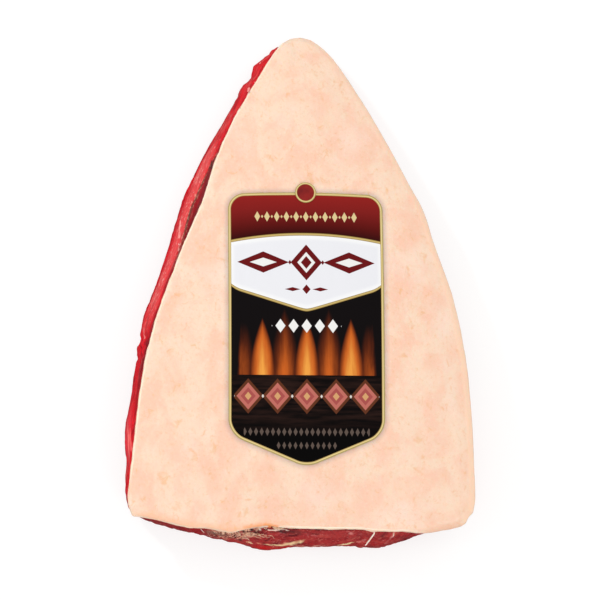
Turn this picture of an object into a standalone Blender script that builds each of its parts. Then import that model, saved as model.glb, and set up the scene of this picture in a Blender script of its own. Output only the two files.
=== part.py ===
"""A raw picanha, the triangular cap of a beef rump, lying lean side down with its fat side up.

Seen from above it is a rounded triangle with its tip at +Y and its cut end at -Y. It has three solids:
the lean muscle, the fat cap that lies over it, and the label stuck on the fat. Lengths are in metres,
apart from the stations and shreds, which are read in millimetres and then scaled.
"""

import math
from collections import namedtuple

import bmesh
import bpy
from mathutils import Vector, noise

MM = 0.001

# Heights
CREST_HEIGHT = 0.048
CREST_Y = -0.070
TIP_Y = 0.144
TIP_DROP = 0.024
EDGE_DROP = 0.004
FAT_AT_CUT_END = 0.0115
FAT_AT_TIP = 0.0075
CUT_EDGE_SHARE = 0.80
WRAPPED_SEAM_SHARE = 0.42
GAP = 0.0003

# Fat edge
CUT_EDGE_RADIUS = 0.0018
WRAPPED_EDGE_RADIUS = 0.0090
CUT_SEAM_INSET = 0.0008
WRAPPED_SEAM_INSET = 0.0045
MIDDLE = Vector((0.002, -0.030))

# Lean flanks
FLANK_BELLY = 0.48
FOOT_TUCK = 0.0030
FOOT_ROUNDING = 0.0080
FOOT_SHARE = 0.4

# Relief: how deep the bumps are and how long their waves are
DIMPLE_DEPTH = 0.0011
DIMPLE_WIDTH = 0.030
DIMPLE_LENGTH = 0.042
RAGGED_DEPTH = 0.0009
RAGGED_WAVE = 0.007
SWELL_DEPTH = 0.0022
SWELL_WAVE = 0.040
CRUMBLE_DEPTH = 0.0008
CRUMBLE_WAVE = 0.006
ROLL_DEPTH = 0.0014
ROLL_LENGTH = 0.030
ROLL_HEIGHT = 0.0085
BUNDLE_DEPTH = 0.0016
BUNDLE_WIDTH = 0.013
BUNDLE_HEIGHT = 0.011

# Mesh fineness
EDGE_SPACING = 0.0055
TOP_REACHES = (0.93, 0.82, 0.66, 0.44, 0.22)
BED_REACHES = (0.94, 0.84, 0.60, 0.30)
FLANK_LEVELS = (0.05, 0.11, 0.17, 0.24, 0.33, 0.43, 0.54, 0.66, 0.78, 0.87, 0.93, 0.975, 1.0)
EDGE_ANGLES = (0, 35, 65, 90)

# Label
LABEL_WIDTH = 0.083
LABEL_TOP_Y = 0.0525
LABEL_SHOULDER_Y = -0.0785
LABEL_POINT_Y = -0.0953
LABEL_X = 0.0027
LABEL_TOP_RADIUS = 0.0085
LABEL_SHOULDER_RADIUS = 0.012
LABEL_POINT_RADIUS = 0.014
LABEL_TOP_ARCH = 0.0010
BADGE_RADIUS = 0.0056
LABEL_THICKNESS = 0.0005
LABEL_CELL = 0.0105
LABEL_CORNER_STEPS = 5
BADGE_STEPS = 8
SMOOTH_MARGIN = 0.018

# One station of the fat's outline, in mm. bulge is how far the lean stands out beyond the fat there, and
# wrap is 0 where the fat ends in a cut edge and 1 where it folds down over the flank.
Station = namedtuple("Station", "x y bulge wrap")
OUTLINE_MM = (
    # tip, then down the left flank
    Station(2.0, 144.0, -3.0, 1.0),
    Station(-3.2, 143.0, -2.4, 1.0),
    Station(-8.5, 139.5, 0.0, 0.6),
    Station(-15.8, 129.0, 3.9, 0.2),
    Station(-24.3, 114.3, 3.6, 0.0),
    Station(-27.2, 109.9, 4.8, 0.0),
    Station(-30.2, 104.2, 4.4, 0.0),
    Station(-33.0, 100.0, 4.1, 0.0),
    Station(-36.2, 93.6, 4.4, 0.0),
    Station(-44.3, 74.6, 6.0, 0.0),
    Station(-48.8, 61.2, 7.0, 0.0),
    Station(-53.1, 47.7, 9.2, 0.0),
    Station(-64.4, 21.1, 5.8, 0.0),
    Station(-70.6, 4.0, 5.6, 0.0),
    Station(-76.6, -12.8, 6.4, 0.0),
    Station(-79.2, -22.0, 4.9, 0.0),
    Station(-80.9, -29.0, 4.2, 0.0),
    Station(-82.8, -36.5, 3.1, 0.0),
    Station(-86.1, -56.8, 3.1, 0.0),
    Station(-88.4, -80.0, 3.9, 0.0),
    Station(-89.6, -90.0, 1.7, 0.0),
    Station(-91.1, -104.5, 0.3, 0.1),
    # left corner of the cut end
    Station(-90.8, -115.0, -0.6, 0.3),
    Station(-87.5, -119.9, -1.0, 0.4),
    Station(-80.6, -121.4, 0.0, 0.2),
    # cut end
    Station(-68.3, -124.3, 0.9, 0.0),
    Station(-53.5, -126.1, 2.4, 0.0),
    Station(-46.0, -127.4, 3.9, 0.0),
    Station(-36.6, -128.9, 2.6, 0.0),
    Station(-26.0, -126.6, 9.5, 0.0),
    Station(-18.0, -125.3, 11.5, 0.0),
    Station(-2.0, -126.8, 8.9, 0.0),
    Station(27.1, -126.9, 8.0, 0.0),
    Station(44.0, -127.4, 7.9, 0.0),
    Station(55.5, -128.0, 4.1, 0.1),
    Station(65.5, -128.8, 0.0, 0.5),
    Station(75.3, -127.4, -3.0, 0.8),
    # nicked right corner
    Station(86.4, -124.8, -3.0, 1.0),
    Station(89.2, -123.2, -3.0, 1.0),
    Station(90.4, -119.9, -3.0, 1.0),
    Station(93.0, -117.7, -3.0, 1.0),
    Station(94.2, -110.5, -3.0, 1.0),
    # up the right flank
    Station(94.0, -99.9, -3.0, 1.0),
    Station(92.8, -67.8, -3.0, 1.0),
    Station(89.9, -35.4, -3.0, 1.0),
    Station(83.4, -2.4, -3.0, 1.0),
    Station(72.6, 30.3, -3.0, 1.0),
    Station(68.1, 45.6, -3.0, 1.0),
    Station(60.2, 61.0, -3.0, 1.0),
    Station(44.0, 92.7, -3.0, 1.0),
    Station(26.6, 122.2, -3.0, 1.0),
    Station(16.6, 135.6, -3.0, 1.0),
    Station(8.0, 142.5, -3.0, 1.0),
)

# A groove along a flank, at a level between the seam (0) and the floor (1). It runs from start to end, which
# are measured along y on the left flank and along x on the cut end.
Groove = namedtuple("Groove", "on_cut_end start end level width depth")
GROOVES = (
    Groove(False, -0.012, 0.078, 0.17, 0.09, 0.0026),
    Groove(True, -0.044, 0.018, 0.21, 0.06, 0.0016),
    Groove(False, -0.104, 0.030, 0.64, 0.08, 0.0018),
    Groove(True, -0.020, 0.078, 0.62, 0.07, 0.0015),
)

# A shred of sinew or fat on the cut end: its course as (x in mm, level down the flank), and its radius in mm.
Shred = namedtuple("Shred", "course radius")
SHREDS = (
    Shred(((37.0, 0.06), (36.2, 0.22), (34.0, 0.42), (32.8, 0.62), (31.0, 0.80)), 1.1),
    Shred(((-58.0, 0.06), (-55.5, 0.22), (-51.0, 0.36), (-49.0, 0.50)), 1.2),
    Shred(((-45.0, 0.10), (-42.0, 0.24), (-37.0, 0.32), (-34.5, 0.47)), 1.9),
    Shred(((-38.0, 0.09), (-34.5, 0.17), (-29.0, 0.24), (-25.0, 0.38)), 2.1),
    Shred(((-29.5, 0.09), (-25.5, 0.12), (-19.5, 0.17), (-15.0, 0.27)), 2.0),
    Shred(((-20.5, 0.08), (-16.5, 0.10), (-10.5, 0.12), (-6.5, 0.19)), 1.5),
)

# The bends of an outline between straight sides: corner and rounding radius.
Corner = namedtuple("Corner", "x y radius")
# One place on the fat's edge: its point, the way out from it, and the station values there.
Edge = namedtuple("Edge", "point out bulge wrap")


def blend(low, high, share):
    return low + (high - low) * share


def smooth_share(value):
    """0 below 0 and 1 above 1, with an eased passage between."""
    value = min(1.0, max(0.0, value))
    return value * value * (3 - 2 * value)


# The outline and the heights over it

def edge_samples():
    """Edge places along a smooth closed curve through the stations, about EDGE_SPACING apart."""
    stations = [Vector((s.x * MM, s.y * MM, s.bulge * MM, s.wrap)) for s in OUTLINE_MM]
    spans = [(stations[(i + 1) % len(stations)] - s).xy.length for i, s in enumerate(stations)]
    smooth = []
    for i, start in enumerate(stations):
        before = stations[i - 1]
        end = stations[(i + 1) % len(stations)]
        after = stations[(i + 2) % len(stations)]
        span = spans[i]
        slope_in = (end - before) / (spans[i - 1] + span)
        slope_out = (after - start) / (span + spans[(i + 1) % len(stations)])
        steps = max(1, round(span / EDGE_SPACING))
        for k in range(steps):
            t = k / steps
            smooth.append(
                start * (2 * t**3 - 3 * t**2 + 1)
                + slope_in * span * (t**3 - 2 * t**2 + t)
                + end * (3 * t**2 - 2 * t**3)
                + slope_out * span * (t**3 - t**2)
            )
    edges = []
    for i, here in enumerate(smooth):
        along = (smooth[(i + 1) % len(smooth)] - smooth[i - 1]).xy.normalized()
        out = Vector((along.y, -along.x))
        edges.append(Edge(here.xy, out, here.z, min(1.0, max(0.0, here.w))))
    return edges


def at(edge, outwards, height):
    """The point that far out from the fat's outline, at that height."""
    spot = edge.point + edge.out * outwards
    return Vector((spot.x, spot.y, height))


def towards_middle(rim, reach):
    """The plan position at a share of the way from the middle to a point of the rim."""
    return MIDDLE + (rim.xy - MIDDLE) * reach


def crest_height(y):
    return CREST_HEIGHT - TIP_DROP * (max(0.0, y - CREST_Y) / (TIP_Y - CREST_Y)) ** 2


def bumps(across, along, layer):
    """Smooth noise between -1 and 1, in waves about one unit long. Each layer is another pattern."""
    return noise.noise(Vector((across, along, layer)))


def label_cover(spot):
    """1 under the label and near it, falling to 0 beyond."""
    sideways = abs(spot.x - LABEL_X) - LABEL_WIDTH / 2
    lengthways = max(spot.y - LABEL_TOP_Y, LABEL_POINT_Y - spot.y)
    return 1 - smooth_share(max(sideways, lengthways) / SMOOTH_MARGIN)


def top_height(spot, reach):
    """Height of the fat's upper face, which falls off towards the rim and has soft dimples round the label."""
    dimples = DIMPLE_DEPTH * bumps(spot.x / DIMPLE_WIDTH, spot.y / DIMPLE_LENGTH, 3.7)
    return crest_height(spot.y) - EDGE_DROP * reach**3 + dimples * (1 - label_cover(spot))


def fat_thickness(y):
    return blend(FAT_AT_CUT_END, FAT_AT_TIP, smooth_share((y + 0.12) / 0.24))


def rim_height(edge):
    return top_height(edge.point, 1.0)


def seam_height(edge):
    """Height of the line where the fat ends and the lean begins."""
    top = rim_height(edge)
    cut = top - CUT_EDGE_SHARE * fat_thickness(edge.point.y)
    ragged = RAGGED_DEPTH * bumps(edge.point.x / RAGGED_WAVE, edge.point.y / RAGGED_WAVE, 8.1)
    swell = SWELL_DEPTH * bumps(edge.point.x / SWELL_WAVE, edge.point.y / SWELL_WAVE, 2.6)
    return blend(cut + ragged, top * WRAPPED_SEAM_SHARE, edge.wrap) + swell


def seam_inset(edge):
    return blend(CUT_SEAM_INSET, WRAPPED_SEAM_INSET, edge.wrap)


def edge_radius(edge):
    return blend(CUT_EDGE_RADIUS, WRAPPED_EDGE_RADIUS, edge.wrap)


def bed_rings(edges, lowered):
    """Rings of the face where fat and lean meet, from the seam inwards, lowered by that much."""
    seam = [at(e, -seam_inset(e), seam_height(e) - lowered) for e in edges]
    rings = [seam]
    for reach in BED_REACHES:
        ring = []
        for rim in seam:
            spot = towards_middle(rim, reach)
            inner = top_height(spot, reach) - fat_thickness(spot.y) - lowered
            height = blend(rim.z, inner, smooth_share((1 - reach) / 0.22))
            ring.append(Vector((spot.x, spot.y, height)))
        rings.append(ring)
    return rings


def bed_middle(lowered):
    return Vector((*MIDDLE, top_height(MIDDLE, 0) - fat_thickness(MIDDLE.y) - lowered))


# Building

def new_material(name, colour, roughness):
    material = bpy.data.materials.new(name)
    material.use_nodes = True
    shader = material.node_tree.nodes["Principled BSDF"]
    shader.inputs["Base Color"].default_value = (*colour, 1)
    shader.inputs["Roughness"].default_value = roughness
    shader.inputs["Metallic"].default_value = 0
    material.diffuse_color = (*colour, 1)
    return material


def new_object(name, mesh, material, collection):
    obj = bpy.data.objects.new(name, mesh)
    mesh.materials.append(material)
    collection.objects.link(obj)
    return obj


def loft(name, rings, first_cap, last_cap):
    """A closed mesh skinned over rings of equal count; a cap is a middle point, or None for a flat face."""
    bm = bmesh.new()
    loops = [[bm.verts.new(p) for p in ring] for ring in rings]
    count = len(rings[0])
    for upper, lower in zip(loops, loops[1:]):
        for i in range(count):
            j = (i + 1) % count
            bm.faces.new((upper[i], lower[i], lower[j], upper[j]))
    for loop, cap in ((loops[0], first_cap), (loops[-1], last_cap)):
        if cap is None:
            bm.faces.new(loop)
            continue
        hub = bm.verts.new(cap)
        for i in range(count):
            bm.faces.new((hub, loop[i], loop[(i + 1) % count]))
    bmesh.ops.recalc_face_normals(bm, faces=bm.faces)
    # Facing beds get the same diagonals, so that they stay the gap apart.
    bmesh.ops.triangulate(bm, faces=[f for f in bm.faces if len(f.verts) == 4], quad_method="SHORT_EDGE")
    mesh = bpy.data.meshes.new(name)
    bm.to_mesh(mesh)
    bm.free()
    mesh.shade_smooth()
    return mesh


def fat_cap(edges, collection):
    """The fat: crowned top, a crisp cut edge or a rounded fold down the flank, and the bed it lies on."""
    shoulder = [at(e, -edge_radius(e), rim_height(e)) for e in edges]
    rings = []
    for reach in reversed(TOP_REACHES):
        spots = [towards_middle(rim, reach) for rim in shoulder]
        rings.append([Vector((s.x, s.y, top_height(s, reach))) for s in spots])
    for degrees in EDGE_ANGLES:
        turn = math.radians(degrees)
        inward = 1 - math.sin(turn)
        down = 1 - math.cos(turn)
        rings.append([at(e, -edge_radius(e) * inward, rim_height(e) - edge_radius(e) * down) for e in edges])
    waist = []
    for e in edges:
        crumble = CRUMBLE_DEPTH * bumps(e.point.x / CRUMBLE_WAVE, e.point.y / CRUMBLE_WAVE, 1.3)
        height = blend(rim_height(e) - edge_radius(e), seam_height(e), 0.6)
        waist.append(at(e, -0.3 * seam_inset(e) + crumble * (1 - e.wrap), height))
    rings.append(waist)
    rings += bed_rings(edges, 0)
    top_middle = Vector((*MIDDLE, top_height(MIDDLE, 0)))
    mesh = loft("fat_cap", rings, top_middle, bed_middle(0))
    return new_object("fat_cap", mesh, new_material("fat", (0.93, 0.68, 0.50), 0.5), collection)


def on_cut_end(edge):
    return edge.out.y < -0.7


def groove_depth(groove, edge, level):
    """How deep a groove is at a place on the flank. It fades out towards its ends."""
    if groove.on_cut_end != on_cut_end(edge) or edge.out.x > 0.5:
        return 0.0
    place = edge.point.x if groove.on_cut_end else edge.point.y
    share = (place - groove.start) / (groove.end - groove.start)
    fade = smooth_share(2.5 * min(share, 1 - share))
    return groove.depth * fade * math.exp(-(((level - groove.level) / groove.width) ** 2))


def flank_relief(edge, level, height):
    """Muscle rolls that run along the left flank, and the lumpy bundles of the cut end."""
    x, y = edge.point
    rolls = ROLL_DEPTH * bumps(x / ROLL_LENGTH, y / ROLL_LENGTH, height / ROLL_HEIGHT)
    bundles = BUNDLE_DEPTH * bumps(x / BUNDLE_WIDTH, height / BUNDLE_HEIGHT, 5.0)
    cut_share = smooth_share((-edge.out.y - 0.6) / 0.3)
    fade = math.sin(math.pi * min(1.0, level * 1.05)) ** 0.5
    return fade * blend(rolls, bundles, cut_share)


def flank_point(edge, level):
    """A point of the lean's flank, from level 0 at the seam to level 1 at the floor."""
    height = blend(seam_height(edge) - GAP, 0.0, level)
    start = -seam_inset(edge)
    if level < FLANK_BELLY:
        outwards = blend(start, edge.bulge, math.sin(math.pi / 2 * level / FLANK_BELLY) ** 0.8)
    else:
        outwards = edge.bulge - FOOT_TUCK * ((level - FLANK_BELLY) / (1 - FLANK_BELLY)) ** 2
    outwards -= sum(groove_depth(groove, edge, level) for groove in GROOVES)
    foot = max(0.0, 1 - height / min(FOOT_ROUNDING, FOOT_SHARE * seam_height(edge)))
    outwards -= FOOT_ROUNDING * (1 - math.sqrt(1 - foot**2))
    return at(edge, outwards + flank_relief(edge, level, height), height)


def cut_end_point(edges, x, level):
    """The point of the cut end at that x and level."""
    end = [e for e in edges if on_cut_end(e)]
    for left, right in zip(end, end[1:]):
        if left.point.x <= x <= right.point.x:
            share = (x - left.point.x) / (right.point.x - left.point.x)
            return flank_point(left, level).lerp(flank_point(right, level), share)
    raise ValueError(f"no cut end at x = {x}")


def shred_mesh(name, edges, shred, collection):
    """One tapered strand laid along the cut end, as a closed mesh half sunk in it."""
    curve = bpy.data.curves.new(name, "CURVE")
    curve.dimensions = "3D"
    curve.bevel_depth = 1.0
    curve.bevel_resolution = 1
    curve.use_fill_caps = True
    spline = curve.splines.new("POLY")
    points = [cut_end_point(edges, x * MM, level) for x, level in shred.course]
    spline.points.add(len(points) - 1)
    for i, (target, point) in enumerate(zip(spline.points, points)):
        target.co = (*point, 1)
        target.radius = shred.radius * MM * (1.0 if i < len(points) - 1 else 0.55)
    guide = bpy.data.objects.new(name + "_guide", curve)
    collection.objects.link(guide)
    bpy.context.view_layer.update()
    mesh = bpy.data.meshes.new_from_object(guide.evaluated_get(bpy.context.evaluated_depsgraph_get()))
    bm = bmesh.new()
    bm.from_mesh(mesh)
    bmesh.ops.remove_doubles(bm, verts=bm.verts, dist=0.00001)
    bm.to_mesh(mesh)
    bm.free()
    obj = bpy.data.objects.new(name, mesh)
    obj.matrix_world = guide.matrix_world
    collection.objects.link(obj)
    bpy.data.objects.remove(guide)
    return obj


def lean(edges, collection):
    """The muscle: the bed under the fat, bulging flanks, a flat underside, and shreds fused to the cut end."""
    rings = list(reversed(bed_rings(edges, GAP)))
    rings += [[flank_point(e, level) for e in edges] for level in FLANK_LEVELS]
    mesh = loft("lean", rings, bed_middle(GAP), None)
    obj = new_object("lean", mesh, new_material("lean", (0.42, 0.035, 0.04), 0.3), collection)

    strands = bpy.data.collections.new("shreds")
    bpy.context.scene.collection.children.link(strands)
    for i, shred in enumerate(SHREDS):
        shred_mesh(f"shred_{i}", edges, shred, strands)
    union = obj.modifiers.new("fuse shreds", "BOOLEAN")
    union.operation = "UNION"
    union.operand_type = "COLLECTION"
    union.collection = strands
    union.solver = "MANIFOLD"
    bpy.context.view_layer.objects.active = obj
    bpy.ops.object.modifier_apply(modifier=union.name)
    for strand in list(strands.objects):
        bpy.data.objects.remove(strand)
    bpy.data.collections.remove(strands)
    return obj


def rounded_outline(corners, steps):
    """Points round a closed outline, with each corner turned into an arc of its radius in that many steps."""
    points = []
    for i, corner in enumerate(corners):
        here = Vector((corner.x, corner.y))
        before = (Vector((corners[i - 1].x, corners[i - 1].y)) - here).normalized()
        following = corners[(i + 1) % len(corners)]
        after = (Vector((following.x, following.y)) - here).normalized()
        half = before.angle(after) / 2
        centre = here + (before + after).normalized() * corner.radius / math.sin(half)
        start = here + before * corner.radius / math.tan(half) - centre
        turn = math.pi - 2 * half
        for k in range(steps + 1):
            angle = turn * k / steps
            cos, sin = math.cos(angle), math.sin(angle)
            points.append(centre + Vector((start.x * cos - start.y * sin, start.x * sin + start.y * cos)))
    return points


def label_outline():
    """The label's cut edge: rounded top corners, a blunt point at the bottom, and a round badge on the top."""
    half = LABEL_WIDTH / 2
    corners = (
        Corner(half, LABEL_TOP_Y, LABEL_TOP_RADIUS),
        Corner(-half, LABEL_TOP_Y, LABEL_TOP_RADIUS),
        Corner(-half, LABEL_SHOULDER_Y, LABEL_SHOULDER_RADIUS),
        Corner(0, LABEL_POINT_Y, LABEL_POINT_RADIUS),
        Corner(half, LABEL_SHOULDER_Y, LABEL_SHOULDER_RADIUS),
    )
    edge = rounded_outline(corners, LABEL_CORNER_STEPS)
    badge = []
    for k in range(BADGE_STEPS + 1):
        angle = math.pi * k / BADGE_STEPS
        badge.append(Vector((BADGE_RADIUS * math.cos(angle), LABEL_TOP_Y + BADGE_RADIUS * math.sin(angle))))
    first_corner = LABEL_CORNER_STEPS + 1
    outline = edge[:first_corner] + badge + edge[first_corner:]
    arched = []
    for p in outline:
        rise = LABEL_TOP_ARCH * (1 - (p.x / half) ** 2) if p.y > LABEL_TOP_Y - LABEL_TOP_RADIUS else 0
        arched.append(Vector((p.x + LABEL_X, p.y + rise)))
    return arched


def label(fat, collection):
    """The label: its outline filled, divided into cells, laid down on the fat and given its thickness."""
    bm = bmesh.new()
    outline = label_outline()
    bm.faces.new([bm.verts.new((p.x, p.y, 2 * CREST_HEIGHT)) for p in outline])
    for axis in (0, 1):
        low = min(p[axis] for p in outline)
        high = max(p[axis] for p in outline)
        cuts = round((high - low) / LABEL_CELL)
        normal = Vector((1 - axis, axis, 0))
        for k in range(1, cuts):
            place = normal * blend(low, high, k / cuts)
            geometry = bm.verts[:] + bm.edges[:] + bm.faces[:]
            bmesh.ops.bisect_plane(bm, geom=geometry, dist=1e-6, plane_co=place, plane_no=normal)
    mesh = bpy.data.meshes.new("label")
    bm.to_mesh(mesh)
    bm.free()
    obj = new_object("label", mesh, new_material("label_print", (0.25, 0.03, 0.03), 0.35), collection)
    lay = obj.modifiers.new("lay on fat", "SHRINKWRAP")
    lay.target = fat
    lay.wrap_method = "PROJECT"
    lay.use_project_z = True
    lay.use_negative_direction = True
    lay.use_positive_direction = False
    lay.offset = GAP
    thick = obj.modifiers.new("thickness", "SOLIDIFY")
    thick.thickness = LABEL_THICKNESS
    thick.offset = 1
    return obj


def centre_over_origin(objects):
    """Moves the pieces together so that the origin is under the middle of their common box."""
    bpy.context.view_layer.update()
    graph = bpy.context.evaluated_depsgraph_get()
    corners = [Vector(c) for o in objects for c in o.evaluated_get(graph).bound_box]
    middle = [(min(c[i] for c in corners) + max(c[i] for c in corners)) / 2 for i in (0, 1)]
    for o in objects:
        o.location = (-middle[0], -middle[1], 0)


def main():
    for obj in list(bpy.data.objects):
        bpy.data.objects.remove(obj)
    collection = bpy.data.collections.new("picanha")
    bpy.context.scene.collection.children.link(collection)
    edges = edge_samples()
    muscle = lean(edges, collection)
    fat = fat_cap(edges, collection)
    sticker = label(fat, collection)
    centre_over_origin([muscle, fat, sticker])


main()
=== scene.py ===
"""The looks of a raw picanha: moist fat, wet lean, a printed label, and the studio that it is shown in."""

import logging
import math
from dataclasses import dataclass
from enum import Enum
from typing import Mapping, Sequence, Union

import bmesh
import bpy
import numpy as np
from mathutils import Matrix, Vector, noise
from mathutils.bvhtree import BVHTree


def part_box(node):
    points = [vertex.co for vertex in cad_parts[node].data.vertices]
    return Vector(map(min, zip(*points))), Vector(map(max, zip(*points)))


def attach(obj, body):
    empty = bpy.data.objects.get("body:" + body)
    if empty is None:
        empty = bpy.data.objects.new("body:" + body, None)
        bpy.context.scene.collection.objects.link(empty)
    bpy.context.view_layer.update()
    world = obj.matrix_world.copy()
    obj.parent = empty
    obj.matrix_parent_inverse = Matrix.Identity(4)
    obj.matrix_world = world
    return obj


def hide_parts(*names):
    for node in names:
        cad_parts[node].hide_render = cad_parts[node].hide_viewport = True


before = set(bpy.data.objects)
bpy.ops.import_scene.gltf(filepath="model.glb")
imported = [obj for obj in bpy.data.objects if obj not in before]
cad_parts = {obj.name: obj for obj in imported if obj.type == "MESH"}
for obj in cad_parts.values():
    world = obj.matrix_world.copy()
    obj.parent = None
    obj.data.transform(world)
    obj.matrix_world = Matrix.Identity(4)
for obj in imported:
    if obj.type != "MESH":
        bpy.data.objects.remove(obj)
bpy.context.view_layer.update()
LOG = logging.getLogger("picanha")
MM = 0.001
BODY = "root"
# The way of the muscle's fibres: degrees about z, and then about x.
GRAIN_TURN, GRAIN_TILT = 18.0, 6.0
Socket = bpy.types.NodeSocket
Number = Union["Signal", float]
Colour = Union[tuple, Socket]


class Axis(Enum):
    """A direction of the row frame."""

    X = 0
    Y = 1
    Z = 2


class Zone(Enum):
    """A field stored on a skin's points. Shares run from 0 to 1, and gaps are in millimetres."""

    CUT = "cut"
    SEAM = "seam"
    UNDER = "under"
    LABEL_SHADE = "label_shade"
    SIDE_GAP = "side_gap"
    END_GAP = "end_gap"
    SIDE_SHARE = "side_share"
    RIM = "rim"
    FAT_GAP = "fat_gap"
    HEIGHT = "height"
    BUNDLE = "bundle"
    FOLD = "fold"


def shade(red: float, green: float, blue: float) -> tuple[float, float, float, float]:
    """Turns an 8-bit display colour into the linear colour that a shader takes.

    Args:
        red: Red, from 0 to 255.
        green: Green, from 0 to 255.
        blue: Blue, from 0 to 255.

    Returns:
        Linear red, green, blue and an alpha of 1.
    """
    parts = [value / 255 for value in (red, green, blue)]
    linear = [p / 12.92 if p <= 0.04045 else ((p + 0.055) / 1.055) ** 2.4 for p in parts]
    return (linear[0], linear[1], linear[2], 1.0)


def ease(values: np.ndarray, low: float, high: float) -> np.ndarray:
    """Gives 0 below low and 1 above high, or the reverse where high is lower, with a smooth passage."""
    share = np.clip((values - low) / (high - low), 0.0, 1.0)
    return share * share * (3 - 2 * share)


@dataclass(frozen=True)
class Signal:
    """A number that varies over a surface, with arithmetic that adds shader nodes."""

    shader: "Shader"
    socket: Socket

    def _math(self, operation: str, *others: Number, clamp: bool = False) -> "Signal":
        """Adds a Math node on this number and the others.

        Args:
            operation: Blender's name for what the node does.
            others: The further numbers.
            clamp: Whether the result is limited to the range from 0 to 1.

        Returns:
            The result.
        """
        inputs = dict(enumerate((self, *others)))
        node = self.shader.add("ShaderNodeMath", inputs, operation=operation, use_clamp=clamp)
        return Signal(self.shader, node.outputs[0])

    def __add__(self, other: Number) -> "Signal":
        """Adds."""
        return self._math("ADD", other)

    def __sub__(self, other: Number) -> "Signal":
        """Subtracts."""
        return self._math("SUBTRACT", other)

    def __rsub__(self, other: float) -> "Signal":
        """Subtracts this from a plain number."""
        return (self * -1) + other

    def __mul__(self, other: Number) -> "Signal":
        """Multiplies."""
        return self._math("MULTIPLY", other)

    def __truediv__(self, other: Number) -> "Signal":
        """Divides."""
        return self._math("DIVIDE", other)

    def __pow__(self, other: float) -> "Signal":
        """Raises to a power."""
        return self._math("POWER", other)

    def __abs__(self) -> "Signal":
        """Drops the sign."""
        return self._math("ABSOLUTE")

    def root(self) -> "Signal":
        """Takes the square root."""
        return self._math("SQRT")

    def higher(self, other: Number) -> "Signal":
        """Takes the larger of two."""
        return self._math("MAXIMUM", other)

    def lower(self, other: Number) -> "Signal":
        """Takes the smaller of two."""
        return self._math("MINIMUM", other)

    def triangle(self, reach: float) -> "Signal":
        """Runs up and down between 0 and that reach."""
        return self._math("PINGPONG", reach)

    def within(self, low: float, high: float, soft: float) -> "Signal":
        """Gives 1 between two numbers and 0 outside them, with passages of that softness."""
        return self.eased(low - soft, low + soft) * self.eased(high + soft, high - soft)

    def clamped(self) -> "Signal":
        """Limits it to the range from 0 to 1."""
        return self._math("ADD", 0.0, clamp=True)

    def eased(self, low: float, high: float) -> "Signal":
        """Gives 0 below low and 1 above high, with a smooth passage between.

        Args:
            low: Where the passage starts.
            high: Where it ends. It may be lower than low.

        Returns:
            The eased share.
        """
        rising = low < high
        inputs = {"Value": self, "From Min": min(low, high), "From Max": max(low, high)}
        inputs |= {"To Min": float(not rising), "To Max": float(rising)}
        node = self.shader.add("ShaderNodeMapRange", inputs, interpolation_type="SMOOTHSTEP")
        return Signal(self.shader, node.outputs["Result"])


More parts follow.
